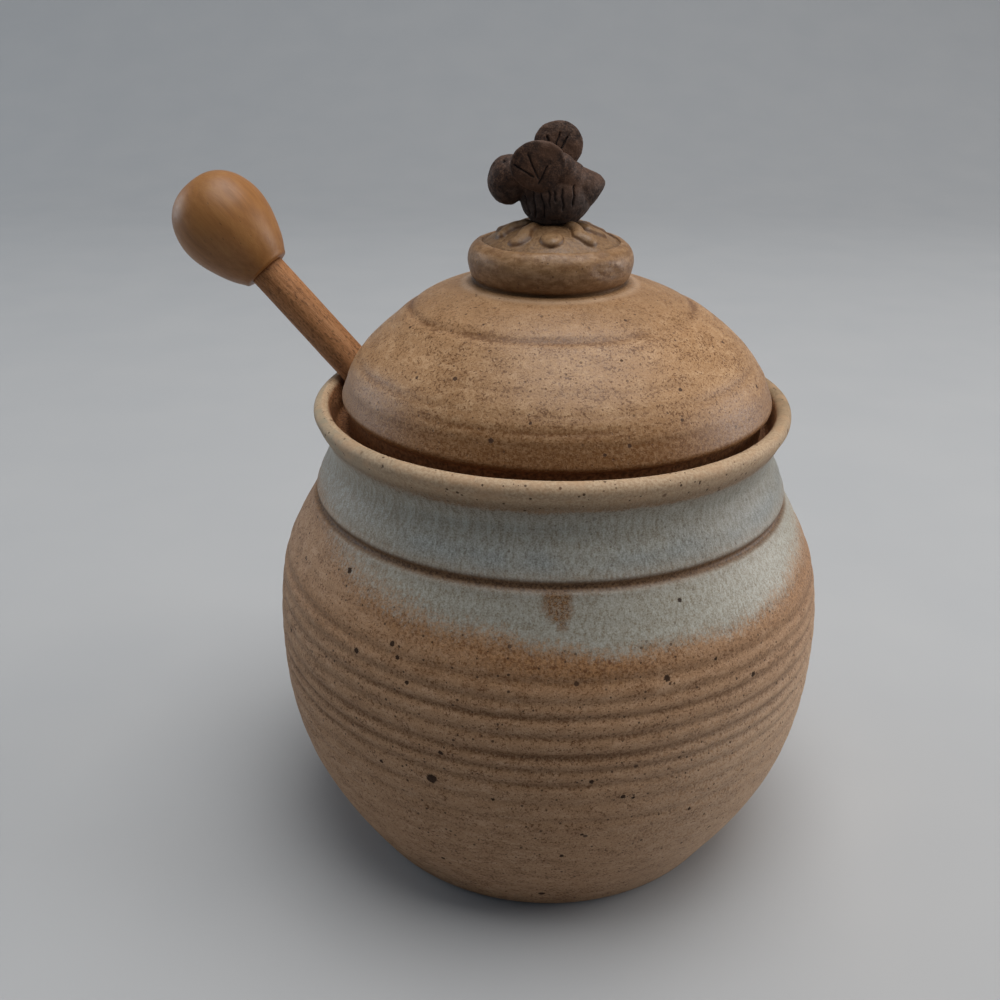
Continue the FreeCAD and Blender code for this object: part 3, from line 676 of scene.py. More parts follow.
def lid_disp(F, R, Z, NR, NZ, I):
    sx, cy = np.sin(F), np.cos(F)
    out = (I > l_in).astype(float)
    dome = out * sstep(102.5, 106, Z) * sstep(124.8, 123.5, Z)
    d = dome * 0.16 * fbm(sx * 1.2, cy * 1.2, Z * 0.05, 51, 2)
    z1 = 120.2 + 0.35 * np.sin(F + 0.9) + 0.12 * vnoise(sx * 2, cy * 2, 0, 52)
    d = d - dome * 0.34 * (0.75 + 0.4 * vnoise(sx * 3, cy * 3, 1.0, 53)) * bell(Z, z1, 0.55)
    d = d + dome * 0.10 * bell(Z, z1 - 1.5, 0.9)
    for zz, aa, ww, sd in ((116.2, 0.05, 0.8, 61), (110.6, 0.13, 0.7, 62), (107.9, 0.12, 0.55, 63), (105.3, 0.09, 0.7, 64), (113.4, 0.04, 0.7, 65)):
        d = d - dome * aa * (0.6 + 0.7 * vnoise(sx * 2.5, cy * 2.5, zz, sd)) * bell(Z, zz + 0.3 * np.sin(F + sd), ww)
    d = d + out * 0.55 * bell(deg_(F), 72.0, 42.0) * sstep(100.6, 101.8, Z) * sstep(110.0, 104.0, Z)
    kn = out * sstep(125.2, 126.4, Z)
    d = d + kn * 0.26 * fbm(sx * 1.5, cy * 1.5, Z * 0.12, 71, 2)
    # oval dent left by a thumb on the knob's side
    u = (np.degrees(F) - 38.0) / 17.0
    v = (Z - 129.6) / 2.4
    q = np.hypot(u * 0.85 - v * 0.5, (u * 0.5 + v * 0.85) * 1.5)
    side = kn * (Z < 132.6)
    d = d - side * 0.24 * np.exp(-(q / 0.8) ** 3) + side * 0.08 * bell(q, 1.15, 0.25)
    d = d + side * 0.07 * np.sin(q * 9.0) * np.exp(-(q / 1.1) ** 4)
    # crease and petals
    crease_z = np.abs(R - (13.5 + 0.12 * vnoise(sx * 3, cy * 3, 0.2, 72)))
    top = out * (Z > 132.2)
    d = d - top * 0.26 * np.exp(-(crease_z / 0.22) ** 2)
    d = d + petal_rise(F, R, Z) * out
    d = d + top * 0.13 * fbm(sx * R * 0.55, cy * R * 0.55, 0.3, 73, 3)
    edge = out * sstep(96, 101, Z) * sstep(105, 102.5, Z)
    d = d + edge * 0.10 * fbm(sx * 2.5, cy * 2.5, 0.8, 74, 2)
    # the dome sits a little to the right in the gallery, the knob a little to the left
    dx = 0.65 - 1.35 * sstep(116.0, 125.0, Z)
    return d, dx, 0.0, 0.0


def lid_attr(F, R, Z, I):
    sx, cy = np.sin(F), np.cos(F)
    out = (I > l_in).astype(float)
    z1 = 120.2 + 0.35 * np.sin(F + 0.9) + 0.12 * vnoise(sx * 2, cy * 2, 0, 52)
    ring = bell(Z, z1, 0.6) * (0.75 + 1.0 * fbm(sx * 4, cy * 4, 1.0, 53, 2))
    for zz, aa, ww, sd in ((113.4, 0.45, 0.5, 65), (110.6, 0.8, 0.65, 62), (107.9, 0.95, 0.5, 63), (105.3, 0.6, 0.8, 64)):
        ring = ring + aa * np.clip(0.35 + 1.3 * vnoise(sx * 2.5, cy * 2.5, zz, sd), 0, 1) * bell(Z, zz + 0.3 * np.sin(F + sd), ww)
    low = sstep(111.5, 104.5, Z + 2.2 * fbm(sx * 2.5, cy * 2.5, 0.4, 81, 3)) * (0.78 + 0.22 * bell(np.degrees(F), 5, 38))
    low = np.maximum(low, sstep(103.1, 102.2, Z))
    kn = out * sstep(125.0, 125.7, Z)
    # painted shade in the crevice at the knob's foot, in the crease round the flower and round the bee's seat
    crev_shade = sstep(16.0, 15.5, R) * (R > 14.5) * bell(Z, 125.4, 0.7) + 0.9 * np.exp(-((R - 13.5) / 0.2) ** 2) * (Z > 132.2)
    crev_shade = crev_shade + 0.8 * bell(Z, 136.4, 0.7) * out * (R < 8.0) * (R > 3.0)
    crev_shade = np.clip(crev_shade, 0, 1)
    band = out * sstep(101.7, 101.0, Z)
    deg = np.degrees(F)
    pet = petal_rise(F, R, Z)
    return {"ring": np.clip(ring, 0, 1) * out, "low": np.clip(low, 0, 1) * out, "knob": kn, "painted_crevice_shade": crev_shade * out,
            "pale_collar_and_light": bell(R, 17.5, 0.8) * out * (Z < 125.1) * (Z > 120.0) * (0.75 + 0.5 * fbm(np.sin(F) * 3, np.cos(F) * 3, 0.4, 57, 2)),
            "band": np.maximum(band, 1 - out), "petal": np.clip(pet / 0.8, 0, 1) * out,
            "dent": kn * (Z < 132.6) * np.exp(-(np.hypot((deg - 38.0) / 20.0, (Z - 129.6) / 2.3)) ** 4),
            "flower_wash_and_shade": out * (Z > 132.3) * sstep(13.9, 13.4, R)}


lid = lathe("lid_thrown", lid_prof, 400, lid_disp, lid_attr, AXIS, LID_UP)

# the notch, cut along the dipper's slope
A, E = math.radians(167.1), math.radians(46.7)
out_v = Vector((math.cos(A), math.sin(A), 0))
along = out_v * math.cos(E) + Vector((0, 0, math.sin(E)))
under = out_v * math.sin(E) - Vector((0, 0, math.cos(E)))
side_v = along.cross(under)
cross_p = out_v * 41.35 + Vector((0, 0, 101.0))
turn = Matrix((under, side_v, along)).transposed().to_4x4()
place = Matrix.Translation(AXIS + cross_p * MM) @ turn


def notch_cutter():
    """A long rounded slot: half a cylinder towards the pot's axis, open outwards."""
    bm = bmesh.new()
    r, n = 4.4, 28
    ring0 = []
    prof = [(r * math.cos(a), r * math.sin(a)) for a in np.linspace(math.pi * 0.5, math.pi * 1.5, n)]
    prof += [(24.0, -r), (24.0, r)]
    lo_, hi_ = [], []
    for x, y in prof:
        lo_.append(bm.verts.new((x * MM, y * MM, -18 * MM)))
        hi_.append(bm.verts.new((x * MM, y * MM, 26 * MM)))
    k = len(prof)
    for i in range(k):
        bm.faces.new((lo_[i], lo_[(i + 1) % k], hi_[(i + 1) % k], hi_[i]))
    bm.faces.new(lo_[::-1])
    bm.faces.new(hi_)
    bmesh.ops.recalc_face_normals(bm, faces=bm.faces)
    me = bpy.data.meshes.new("notch_cutter")
    bm.to_mesh(me)
    bm.free()
    ob = bpy.data.objects.new("notch_cutter", me)
    bpy.context.scene.collection.objects.link(ob)
    ob.matrix_world = place
    return ob


cutter = notch_cutter()
bpy.context.view_layer.update()
bo = lid.modifiers.new("notch", "BOOLEAN")
bo.operation = "DIFFERENCE"
bo.solver = "EXACT"
bo.object = cutter
apply_modifiers(lid)
bpy.data.objects.remove(cutter)
lid.data.polygons.foreach_set("use_smooth", np.ones(len(lid.data.polygons), bool))
lid.data.set_sharp_from_angle(angle=math.radians(50))

spots_lid = [(-32, 114.3, 0.5), (-44.5, 113.1, 0.38), (33, 112.7, 0.42), (30, 108.4, 0.4), (-17.5, 106.2, 0.55),
             (15, 105.6, 0.4), (9, 104.4, 0.35), (66, 108.3, 0.5), (67, 116.1, 0.45), (-8.5, 109.4, 0.35),
             (18.5, 117.7, 0.35), (29, 122.6, 0.4), (-33, 121.6, 0.4), (74, 121.8, 0.45), (-66, 118.5, 0.45),
             (150, 112, 0.5), (-140, 117, 0.45), (110, 107, 0.5), (-95, 109, 0.4)]
ldi = ld[: int(np.argmin(np.abs(ld[:, 1] - 124.9)))]
lid_r = lambda z: np.interp(z, ldi[:, 1], ldi[:, 0])
m, c, grain, fine, mott, broad = stoneware("lid_stoneware", (0.470, 0.288, 0.150), (0.380, 0.219, 0.107), (0.285, 0.152, 0.066), (0.108, 0.040, 0.010), 0.6, ("ring", 1.3), ("low", 0.9))
c = m.mix(m.math("MULTIPLY", m.attr("ring"), m.span(grain, 0.38, 0.60, 0.72, 0.25)), c, (0.140, 0.060, 0.019))
lowf = m.math("MULTIPLY", m.attr("low"), m.span(grain, 0.3, 0.62, 0.78, 0.4))
c = m.mix(lowf, c, (0.145, 0.055, 0.012))
# painted shade: the dome darker towards its top, next to the knob
painted_dome_top_shade = m.math("MULTIPLY", m.span(m.Z, 119.0 + LID_UP, 124.0 + LID_UP, 0.0, 0.66), m.span(mott, 0.3, 0.6, 1.0, 0.6))
c = m.mix(painted_dome_top_shade, c, (0.225, 0.120, 0.052))
knl = m.noise(0.9, 3.0, 0.6, m.stretch(0.45, 0.45, 1.2))
knc = m.ramp(knl, (0.36, (0.145, 0.071, 0.026)), (0.5, (0.212, 0.114, 0.049)), (0.64, (0.290, 0.170, 0.086)))
c = m.mix(m.math("MULTIPLY", m.attr("knob"), 0.80), c, knc)
# pale ring round the knob's foot: partly paler clay, partly painted light
c = m.mix(m.math("MULTIPLY", m.attr("pale_collar_and_light"), 0.55), c, (0.520, 0.360, 0.240))
# painted shade on the knob's lower side, under its overhang
painted_knob_under_shade = m.math("MULTIPLY", m.attr("knob"), m.span(m.Z, 128.4 + LID_UP, 125.8 + LID_UP, 0.0, 0.45))
c = m.mix(painted_knob_under_shade, c, (0.125, 0.056, 0.020))
wash = m.math("MULTIPLY", m.attr("knob"), m.span(m.noise(1.3, 4.0, 0.75), 0.53, 0.60))
c = m.mix(m.math("MULTIPLY", wash, 0.5), c, (0.125, 0.048, 0.014))
dent = m.math("MULTIPLY", m.attr("dent"), m.span(m.noise(0.8, 4.0, 0.7, m.stretch(0.6, 0.6, 1.6)), 0.44, 0.58))
c = m.mix(m.math("MULTIPLY", dent, 0.75), c, (0.110, 0.046, 0.016))
# the flower cap darker brown: partly a brown wash, partly painted shade under the bee
flower_wash_shade_col = m.ramp(grain, (0.38, (0.125, 0.065, 0.028)), (0.6, (0.225, 0.130, 0.061)))
c = m.mix(m.math("MULTIPLY", m.attr("flower_wash_and_shade"), 0.85), c, flower_wash_shade_col)
c = m.mix(m.math("MULTIPLY", m.attr("petal"), 0.42), c, (0.265, 0.155, 0.074))
# painted shade round the foot of each petal
painted_petal_edge_shade = m.math("MULTIPLY", m.span(m.attr("petal"), 0.02, 0.25), m.span(m.attr("petal"), 0.85, 0.45))
c = m.mix(m.math("MULTIPLY", painted_petal_edge_shade, 0.85), c, (0.085, 0.037, 0.013))
kd = m.math("MULTIPLY", m.specks(0.8, 0.05, 0.28, 0.4), m.attr("knob"))
c = m.mix(m.math("MULTIPLY", kd, 0.7), c, (0.10, 0.045, 0.02))
# painted shade in the crevice at the knob's foot, the flower crease and round the bee's seat
c = m.mix(m.math("MULTIPLY", m.attr("painted_crevice_shade"), 0.55), c, (0.07, 0.034, 0.015))
sp = m.math("MAXIMUM", m.specks(1.1, 0.05, 0.38, 0.5, soft=0.4), m.specks(0.36, 0.05, 0.18, 0.28, soft=0.35))
c = m.mix(m.math("MULTIPLY", sp, 0.80), c, (0.095, 0.042, 0.015))
places = []
for a, z, r in spots_lid:
    x, y, zz = on_pot(a, z, lid_r)
    places.append((x + 0.65, y, zz, r * 0.80))
big = m.spots(places)
bigm = m.span(m.math("ADD", big, m.math("MULTIPLY", m.math("SUBTRACT", fine, 0.5), 1.2)), 1.25, 0.95)
c = m.mix(m.math("MULTIPLY", bigm, 0.92), c, (0.050, 0.021, 0.009))
inc = m.ramp(m.noise(1.4, 3.0, 0.6), (0.35, (0.10, 0.043, 0.017)), (0.65, (0.28, 0.13, 0.054)))
c = m.mix(m.attr("band"), c, inc)
rough = m.math("MULTIPLY_ADD", m.math("SUBTRACT", grain, 0.5), 0.55, 0.44)
hgt = m.math("ADD", m.math("MULTIPLY", grain, 1.0), m.math("MULTIPLY", fine, 0.5))
hgt = m.math("SUBTRACT", hgt, m.math("MULTIPLY", sp, 0.9))
hgt = m.math("SUBTRACT", hgt, m.math("MULTIPLY", bigm, 0.5))
rough = m.math("MULTIPLY_ADD", bigm, 0.3, rough)
nrm = m.bump(hgt, 0.5, 0.11)
lid_mat = m.finish(c, rough, nrm, **{"Specular IOR Level": 0.30})
lid.data.materials.clear()
lid.data.materials.append(lid_mat)


# ---------------------------------------------------------------------- bee
def ellipsoid(bm, c, r, rot=None, seg=40, rings_=24):
    res = bmesh.ops.create_uvsphere(bm, u_segments=seg, v_segments=rings_, radius=1.0)
    mat = Matrix.Translation(Vector(c)) @ (rot or Matrix.Identity(4)) @ Matrix.Diagonal((*r, 1.0))
    bmesh.ops.transform(bm, matrix=mat, verts=res["verts"])


def rotm(*turns):
    mtx = Matrix.Identity(4)
    for ax, deg in turns:
        mtx = mtx @ Matrix.Rotation(math.radians(deg), 4, ax)
    return mtx


def wing(bm, root, tip, width, thick, normal, seg=48):
    """A flat rounded lobe from root to tip: a pinched pat of clay, thicker at its root."""
    root, tip, normal = Vector(root), Vector(tip), Vector(normal).normalized()
    up = (tip - root)
    length = up.length
    up.normalize()
    sidew = up.cross(normal).normalized()
    normal = sidew.cross(up).normalized()
    res = bmesh.ops.create_uvsphere(bm, u_segments=seg, v_segments=28, radius=1.0)
    for v in res["verts"]:
        x, y, z = v.co                       # x across, y through, z along
        t = (z + 1) / 2
        w = width * (0.80 + 0.28 * math.sin(min(1.0, t * 0.95) * math.pi * 0.62))
        if x > 0 and root.x < 0:
            w *= 1.0 + 0.22 * (1 - t)
        th = thick * (1.15 - 0.22 * t)
        e = math.copysign(abs(y) ** 0.55, y)
        v.co = root + up * (t * length) + sidew * (x * w) + normal * (e * th * (1 - 0.25 * (x * x + z * z)))


bm = bmesh.new()
ellipsoid(bm, (0.1, 0.0, 141.75), (7.2, 6.1, 6.2), rotm(("Y", -8)))
ellipsoid(bm, (1.9, -1.3, 144.9), (4.4, 3.9, 4.0), rotm(("Y", 16)))
ellipsoid(bm, (-9.3, 0.4, 144.7), (4.15, 4.3, 4.75), rotm(("Y", 10)))
ellipsoid(bm, (-5.6, 0.1, 144.6), (3.4, 3.6, 3.4))
ellipsoid(bm, (0.3, -3.7, 146.9), (3.5, 2.1, 3.5), rotm(("Y", 22)))     # the near wing's root, smoothed into the back
# pointed tail
for t in np.linspace(0, 1, 13):
    r = 3.9 * (1 - t) ** 0.74 + 0.45
    ellipsoid(bm, (4.1 + 4.9 * t, -0.1 * t, 143.1 + 1.15 * t), (r, r, r * 0.98), seg=24, rings_=14)
wing(bm, (-3.0, -5.2, 143.3), (-4.9, -5.4, 152.6), 4.95, 1.25, (0, -1, 0.05))
wing(bm, (0.3, 2.6, 145.6), (0.75, 5.1, 155.3), 4.75, 1.2, (0, -0.94, 0.34))
# clay pressed down on the knob
ellipsoid(bm, (-0.2, 0.0, 137.4), (4.9, 4.6, 1.6))
me = bpy.data.meshes.new("bee_sculpt")
bm.to_mesh(me)
bm.free()
co = np.empty(len(me.vertices) * 3)
me.vertices.foreach_get("co", co)
me.vertices.foreach_set("co", (co * MM).astype(np.float32))
me.update()
bee = bpy.data.objects.new("bee_sculpt", me)
bpy.context.scene.collection.objects.link(bee)
rm = bee.modifiers.new("remesh", "REMESH")
rm.mode = "VOXEL"
rm.voxel_size = 0.135 * MM
rm.adaptivity = 0.0
sm = bee.modifiers.new("smooth", "SMOOTH")
sm.factor = 0.5
sm.iterations = 18
apply_modifiers(bee)


def carve(ob, lines, skip=None):
    P = coords(ob) / MM
    N = normals(ob)
    d = np.zeros(len(P))
    mark = np.zeros(len(P))
    for pts, width, depth in lines:
        pts = [P[int(np.argmin(((P - np.array(q)) ** 2).sum(1)))] for q in pts]
        dist, s = seg_dist(P, pts)
        ends = sstep(0.0, 0.12, s) * sstep(1.0, 0.88, s) * 0.75 + 0.25
        k = np.exp(-np.abs(dist / width) ** 2.0) * ends
        d = np.maximum(d, depth * k)
        mark = np.maximum(mark, np.exp(-np.abs(dist / (width * 0.85)) ** 3.0) * sstep(0.0, 0.04, s) * sstep(1.0, 0.96, s))
    return d, mark, P, N


def on_body(x, ang, lift=0.0):
    """A point on the bee's body: x along it, ang round it from the top (90 is the near side)."""
    cx, cz, a, b, c_ = 0.35, 141.9, 7.7, 6.1, 6.35
    k = math.sqrt(max(0.0, 1 - ((x - cx) / a) ** 2))
    an = math.radians(ang)
    return (x, -(b * k + lift) * math.sin(an), cz + (c_ * k + lift) * math.cos(an) + (x - cx) * 0.105)


def flank(x, z, side):
    """A point on the bee's side: x along it, z up, side -1 for the near side and 1 for the far one."""
    k = 1 - ((x - 0.1) / 7.2) ** 2 - ((z - 141.75) / 6.2) ** 2
    return (x, side * 6.1 * math.sqrt(max(0.0, k)), z)


def stroke(a, b, n=7):
    return [tuple(a[i] + (b[i] - a[i]) * t for i in range(3)) for t in np.linspace(0, 1, n)]


lines = []
# stripes down the sides
for x0, z0, x1, z1 in ((-6.4, 142.3, -5.1, 138.5), (-4.6, 143.4, -3.9, 138.0), (-3.1, 143.3, -2.1, 138.0), (-1.6, 143.6, -1.35, 140.3),
                       (-0.5, 143.4, -0.4, 141.4), (0.9, 144.0, 1.2, 139.6), (3.2, 144.5, 3.1, 140.5)):
    for side in (-1, 1):
        lines.append(([flank(x0 + (x1 - x0) * t + 0.10 * math.sin(9 * t + x0), z0 + (z1 - z0) * t, side) for t in np.linspace(0, 1, 9)], 0.17, 0.42))
# dashes on the back
lines.append((stroke((2.9, -2.0, 149.3), (3.3, -3.4, 147.6)), 0.18, 0.36))
lines.append((stroke((5.0, -0.8, 148.2), (4.8, -2.8, 147.1)), 0.18, 0.36))
lines.append((stroke((2.6, 2.0, 148.0), (3.0, 3.2, 147.0)), 0.18, 0.36))
# veins on both faces of the wings
for a, b in (((-5.9, -6.4, 150.4), (-3.6, -6.2, 145.6)), ((-1.9, -6.4, 148.3), (-3.7, -6.2, 144.7)), ((-8.7, -6.4, 148.4), (-4.4, -6.2, 146.1))):
    lines.append((stroke(a, b), 0.17, 0.42))
    lines.append((stroke((a[0], a[1] + 2.2, a[2]), (b[0], b[1] + 2.2, b[2] + 1.5)), 0.17, 0.2))
for a, b in (((-1.9, 3.4, 152.6), (-1.3, 3.0, 150.7)), ((0.8, 3.4, 153.4), (-0.2, 3.0, 150.3)), ((2.4, 3.4, 152.6), (0.8, 2.8, 149.7))):
    lines.append((stroke(a, b), 0.18, 0.42))
    lines.append((stroke((a[0], a[1] + 2.2, a[2] + 0.4), (b[0], b[1] + 2.2, b[2] + 0.4)), 0.18, 0.35))
# eyes: short dashes high on the head
lines.append((stroke((-10.0, -1.8, 148.7), (-10.5, -2.2, 148.3), 3), 0.36, 0.42))
lines.append((stroke((-12.1, -0.4, 148.0), (-12.6, -0.6, 147.4), 3), 0.36, 0.42))
d, mark, P, N = carve(bee, lines)
P = P - N * d[:, None]
clay = 0.16 * fbm(P[:, 0] * 0.35, P[:, 1] * 0.35, P[:, 2] * 0.35, 91, 2) + 0.05 * fbm(P[:, 0] * 1.4, P[:, 1] * 1.4, P[:, 2] * 1.4, 92, 2)
P = P + N * clay[:, None]
# seat on the knob: nothing below the cone's surface
seat = np.interp(np.hypot(P[:, 0] + 0.7, P[:, 1]), [0, 4.4, 6.5, 9.0], [136.45, 136.4, 135.9, 135.0])
P[:, 2] = np.maximum(P[:, 2], seat)
set_coords(bee, (P + np.array(BEE_BY)) * MM + np.array(AXIS))
at = bee.data.attributes.new("mark", "FLOAT", "POINT")
at.data.foreach_set("value", mark.astype(np.float32))
bee.data.polygons.foreach_set("use_smooth", np.ones(len(bee.data.polygons), bool))

m = Mat("bee_clay")
g1 = m.noise(0.9, 3.0, 0.6)
g2 = m.noise(3.6, 2.0, 0.5)
c = m.ramp(m.math("MULTIPLY_ADD", g2, 0.4, m.math("MULTIPLY", g1, 0.6)), (0.36, (0.016, 0.007, 0.004)), (0.5, (0.038, 0.016, 0.008)), (0.64, (0.092, 0.044, 0.023)))
c = m.mix(m.math("MULTIPLY", m.span(m.noise(0.22, 2.0, 0.5), 0.42, 0.62), 0.5), c, (0.098, 0.044, 0.021))
# painted shade: the bee darker towards its bottom
painted_bee_low_shade = m.span(m.math("ADD", m.Z, m.math("MULTIPLY", m.noise(0.3, 2.0, 0.5), 4.0)), 142.5 + BEE_BY.z, 147.5 + BEE_BY.z, 0.75, 0.0)
c = m.mix(painted_bee_low_shade, c, m.ramp(g1, (0.38, (0.015, 0.009, 0.007)), (0.62, (0.050, 0.030, 0.022))))
c = m.mix(m.math("MULTIPLY", m.specks(1.6, 0.08, 0.34, 0.5), 0.6), c, (0.02, 0.012, 0.01))
c = m.mix(m.math("MULTIPLY", m.attr("mark"), 0.96), c, (0.006, 0.003, 0.003))
rough = m.span(g1, 0.3, 0.7, 0.82, 0.62)
nrm = m.bump(m.math("ADD", m.math("MULTIPLY", g1, 0.7), m.math("MULTIPLY", g2, 0.5)), 0.6, 0.14)
bee_mat = m.finish(c, rough, nrm, **{"Specular IOR Level": 0.30})
bee.data.materials.clear()
bee.data.materials.append(bee_mat)

# ------------------------------------------------------------------- dipper
egg_pts = [(3.0, 0.0), (5.0, 0.0), (5.45, 0.18), (5.75, 0.7), (7.05, 2.7), (8.05, 4.7), (8.9, 6.8), (9.6, 8.9), (10.05, 10.9),
           (10.25, 12.9), (10.15, 14.8), (9.75, 16.7), (9.0, 18.7), (7.6, 20.75), (5.6, 22.35), (3.2, 23.25), (1.2, 23.5)]
egg_prof = np.vstack([[(0, 0.0)], resample(spline(egg_pts, 0.08), lambda r, z: 0.3), [(0, 23.52)]])


def egg_disp(F, R, Z, NR, NZ, I):
    sx, cy = np.sin(F), np.cos(F)
    d = 0.10 * fbm(sx * 1.2, cy * 1.2, Z * 0.1, 101, 2) * sstep(0.2, 2.0, Z)
    return d, 0.0, 0.0, 0.0


handle = lathe("dipper_egg", egg_prof, 200, egg_disp)
bake(handle, Matrix.Translation(AXIS + (cross_p + along * 31.3) * MM) @ turn)

L_in, L_out = 114.0, 31.3
stick_pts = [(0.9, 0.0), (2.2, 0.12), (3.2, 0.6), (3.8, 1.5), (3.93, 2.8), (3.95, 8.0), (3.95, 60.0), (3.93, 110.0), (3.95, L_in + 12), (3.93, L_in + L_out - 0.02)]
stick_prof = np.vstack([[(0, 0.0)], resample(spline(stick_pts, 0.2), lambda r, z: 0.5 if z > 105 else 1.2), [(2.0, L_in + L_out - 0.02)], [(0, L_in + L_out - 0.02)]])


def stick_disp(F, R, Z, NR, NZ, I):
    sx, cy = np.sin(F), np.cos(F)
    k = (R > 3.5).astype(float)
    d = k * (0.035 * fbm(sx * 3.5, cy * 3.5, Z * 0.05, 111, 2) + 0.03 * fbm(sx * 9, cy * 9, Z * 0.35, 112, 2))
    return d, 0.0, 0.0, 0.0


stick = lathe("dipper_dowel", stick_prof, 96, stick_disp)
bake(stick, Matrix.Translation(AXIS + (cross_p - along * L_in) * MM) @ turn)


def wood(name, light, mid, dark, coarse, rough_lo, rough_hi, bump_mm, fleck=0.0):
    m = Mat(name, True)
    long = m.noise(1.1, 4.0, 0.6, m.stretch(1.0, 1.0, 0.07))
    rings_ = m.noise(0.32, 2.0, 0.5, m.stretch(1.0, 0.45, 0.05), dist=0.6)
    fib = m.noise(4.5, 3.0, 0.6, m.stretch(1.0, 1.0, 0.05))
    f = m.math("MULTIPLY_ADD", long, 0.5, m.math("MULTIPLY", rings_, 0.5))
    c = m.ramp(f, (0.34, dark), (0.5, mid), (0.66, light))
    c = m.mix(m.span(fib, 0.42, 0.66, 0.0, coarse), c, tuple(x * 1.25 for x in light))
    c = m.mix(m.span(fib, 0.45, 0.28, 0.0, coarse), c, tuple(x * 0.6 for x in dark))
    if fleck:
        fl = m.span(m.noise(2.0, 3.0, 0.7, m.stretch(1.0, 1.0, 0.45)), 0.53, 0.62)
        c = m.mix(m.math("MULTIPLY", fl, fleck), c, tuple(x * 0.6 for x in dark))
        fl2 = m.span(m.noise(2.4, 3.0, 0.7, m.stretch(1.0, 1.0, 0.4)), 0.46, 0.38)
        c = m.mix(m.math("MULTIPLY", fl2, fleck * 0.6), c, tuple(min(1.0, x * 1.15) for x in light))
    pores, rnd = m.cells(1.3, m.stretch(1.0, 1.0, 0.22))
    pm = m.math("MULTIPLY", m.span(pores, 0.16, 0.06), m.math("LESS_THAN", rnd[1], 0.35))
    c = m.mix(m.math("MULTIPLY", pm, 0.6), c, tuple(x * 0.35 for x in dark))
    r = m.span(fib, 0.3, 0.7, rough_hi, rough_lo)
    h = m.math("SUBTRACT", m.math("MULTIPLY_ADD", fib, 0.8, m.math("MULTIPLY", long, 0.4)), m.math("MULTIPLY", pm, 0.8))
    n = m.bump(h, 0.6, bump_mm)
    return m, c, r, n


m, c, r, n = wood("handle_wood", (0.298, 0.136, 0.040), (0.256, 0.108, 0.030), (0.200, 0.080, 0.020), 0.10, 0.38, 0.50, 0.05)
pits = m.specks(0.4, 0.03, 0.11, 0.35)
c = m.mix(m.math("MULTIPLY", pits, 0.85), c, (0.05, 0.022, 0.010))
handle.data.materials.append(m.finish(c, r, n, **{"Specular IOR Level": 0.34}))
m, c, r, n = wood("stick_wood", (0.380, 0.180, 0.074), (0.288, 0.122, 0.043), (0.185, 0.072, 0.023), 0.3, 0.6, 0.78, 0.18, 0.75)
stick.data.materials.append(m.finish(c, r, n, **{"Specular IOR Level": 0.30}))

# --------------------------------------------------------------- frame ties
for ob, node, sl in ((pot, "pot", "pot_glaze"), (lid, "lid", "lid_glaze"), (bee, "bee", "bee_clay"),
                     (stick, "dipper_stick", "stick_wood"), (handle, "dipper_handle", "handle_wood")):
    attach(ob, "root")
    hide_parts(node)

# -------------------------------------------------------------------- stage
bm = bmesh.new()
W, D0, D1, RAD, HGT = 4.0, -1.8, 1.6, 0.8, 3.0
path = [(D0, 0.0), (D1 - RAD, 0.0)]
for a in np.linspace(0, math.pi / 2, 24)[1:]:
    path.append((D1 - RAD + RAD * math.sin(a), RAD - RAD * math.cos(a)))
path.append((D1, HGT))
rows = [[bm.verts.new((sx * W, y, z)) for sx in (-1, 1)] for y, z in path]
for a, b in zip(rows, rows[1:]):
    f = bm.faces.new((a[0], a[1], b[1], b[0]))
    f.smooth = True
me = bpy.data.meshes.new("floor_sweep")
bm.to_mesh(me)
bm.free()
floor = bpy.data.objects.new("floor_sweep", me)
bpy.context.scene.collection.objects.link(floor)
m = Mat("floor_paper")
fn = m.noise(0.02, 2.0, 0.5)
floor.data.materials.append(m.finish(m.ramp(fn, (0.3, (0.385, 0.387, 0.39)), (0.7, (0.40, 0.40, 0.40))), 0.85))

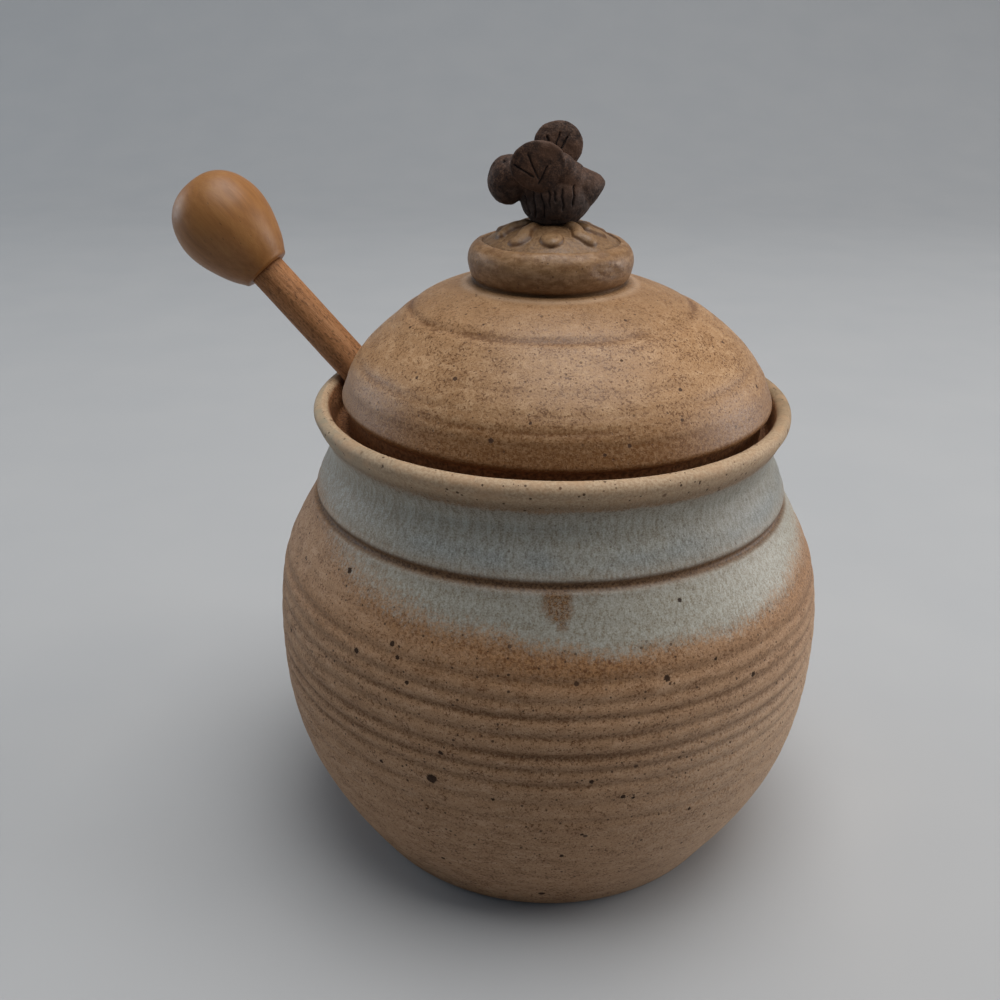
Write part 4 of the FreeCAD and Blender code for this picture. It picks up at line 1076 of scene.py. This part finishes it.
# ------------------------------------------------------------------- camera
th, ro = 0.43253214, 0.00408040
fwd = Vector((0, math.cos(th), -math.sin(th)))
right = Vector((1, 0, 0))
up = Vector((0, math.sin(th), math.cos(th)))
r2 = right * math.cos(ro) + up * math.sin(ro)
u2 = -right * math.sin(ro) + up * math.cos(ro)
Rm = Matrix((r2, u2, -fwd))
T = Vector((10.42927, -68.76512, -266.04208))
C = -(Rm.transposed() @ T)
cam = bpy.data.cameras.new("camera")
cam.lens = 37.8
cam.sensor_width = 36.0
cam.sensor_fit = "HORIZONTAL"
cam.clip_start = 0.01
cam.clip_end = 20
cobj = bpy.data.objects.new("camera", cam)
bpy.context.scene.collection.objects.link(cobj)
cobj.matrix_world = Matrix.Translation(C * MM) @ Rm.transposed().to_4x4()
bpy.context.scene.camera = cobj


# ------------------------------------------------------------------- lights
def area(name, loc, target, size, power, color):
    l = bpy.data.lights.new(name, "AREA")
    l.shape = "RECTANGLE"
    l.size, l.size_y = size
    l.energy = power
    l.color = color
    o = bpy.data.objects.new(name, l)
    bpy.context.scene.collection.objects.link(o)
    o.location = loc
    o.rotation_euler = (Vector(target) - Vector(loc)).to_track_quat("-Z", "Y").to_euler()
    return o


area("top_soft", (0.14, -0.03, 1.0), (0.0, 0.0, 0.08), (0.85, 0.75), 9.6, (1.0, 0.99, 0.975))
area("right_soft", (1.45, 0.18, 0.38), (0.0, 0.0, 0.06), (1.0, 0.7), 12.5, (1.0, 0.98, 0.965))
area("left_soft", (-1.45, 0.55, 0.45), (0.0, 0.0, 0.07), (1.0, 0.8), 7.2, (0.86, 0.93, 1.0))
area("wall_wash", (0.0, 0.55, 1.6), (0.0, 1.6, 0.55), (1.6, 0.6), 5.0, (0.90, 0.95, 1.0))

world = bpy.data.worlds.new("soft_room")
bpy.context.scene.world = world
world.use_nodes = True
bg = world.node_tree.nodes["Background"]
bg.inputs[0].default_value = (0.72, 0.84, 1.0, 1.0)
bg.inputs[1].default_value = 0.16
bpy.context.scene.view_settings.view_transform = "Standard"
bpy.context.scene.view_settings.look = "None"
bpy.context.scene.view_settings.exposure = 0.0

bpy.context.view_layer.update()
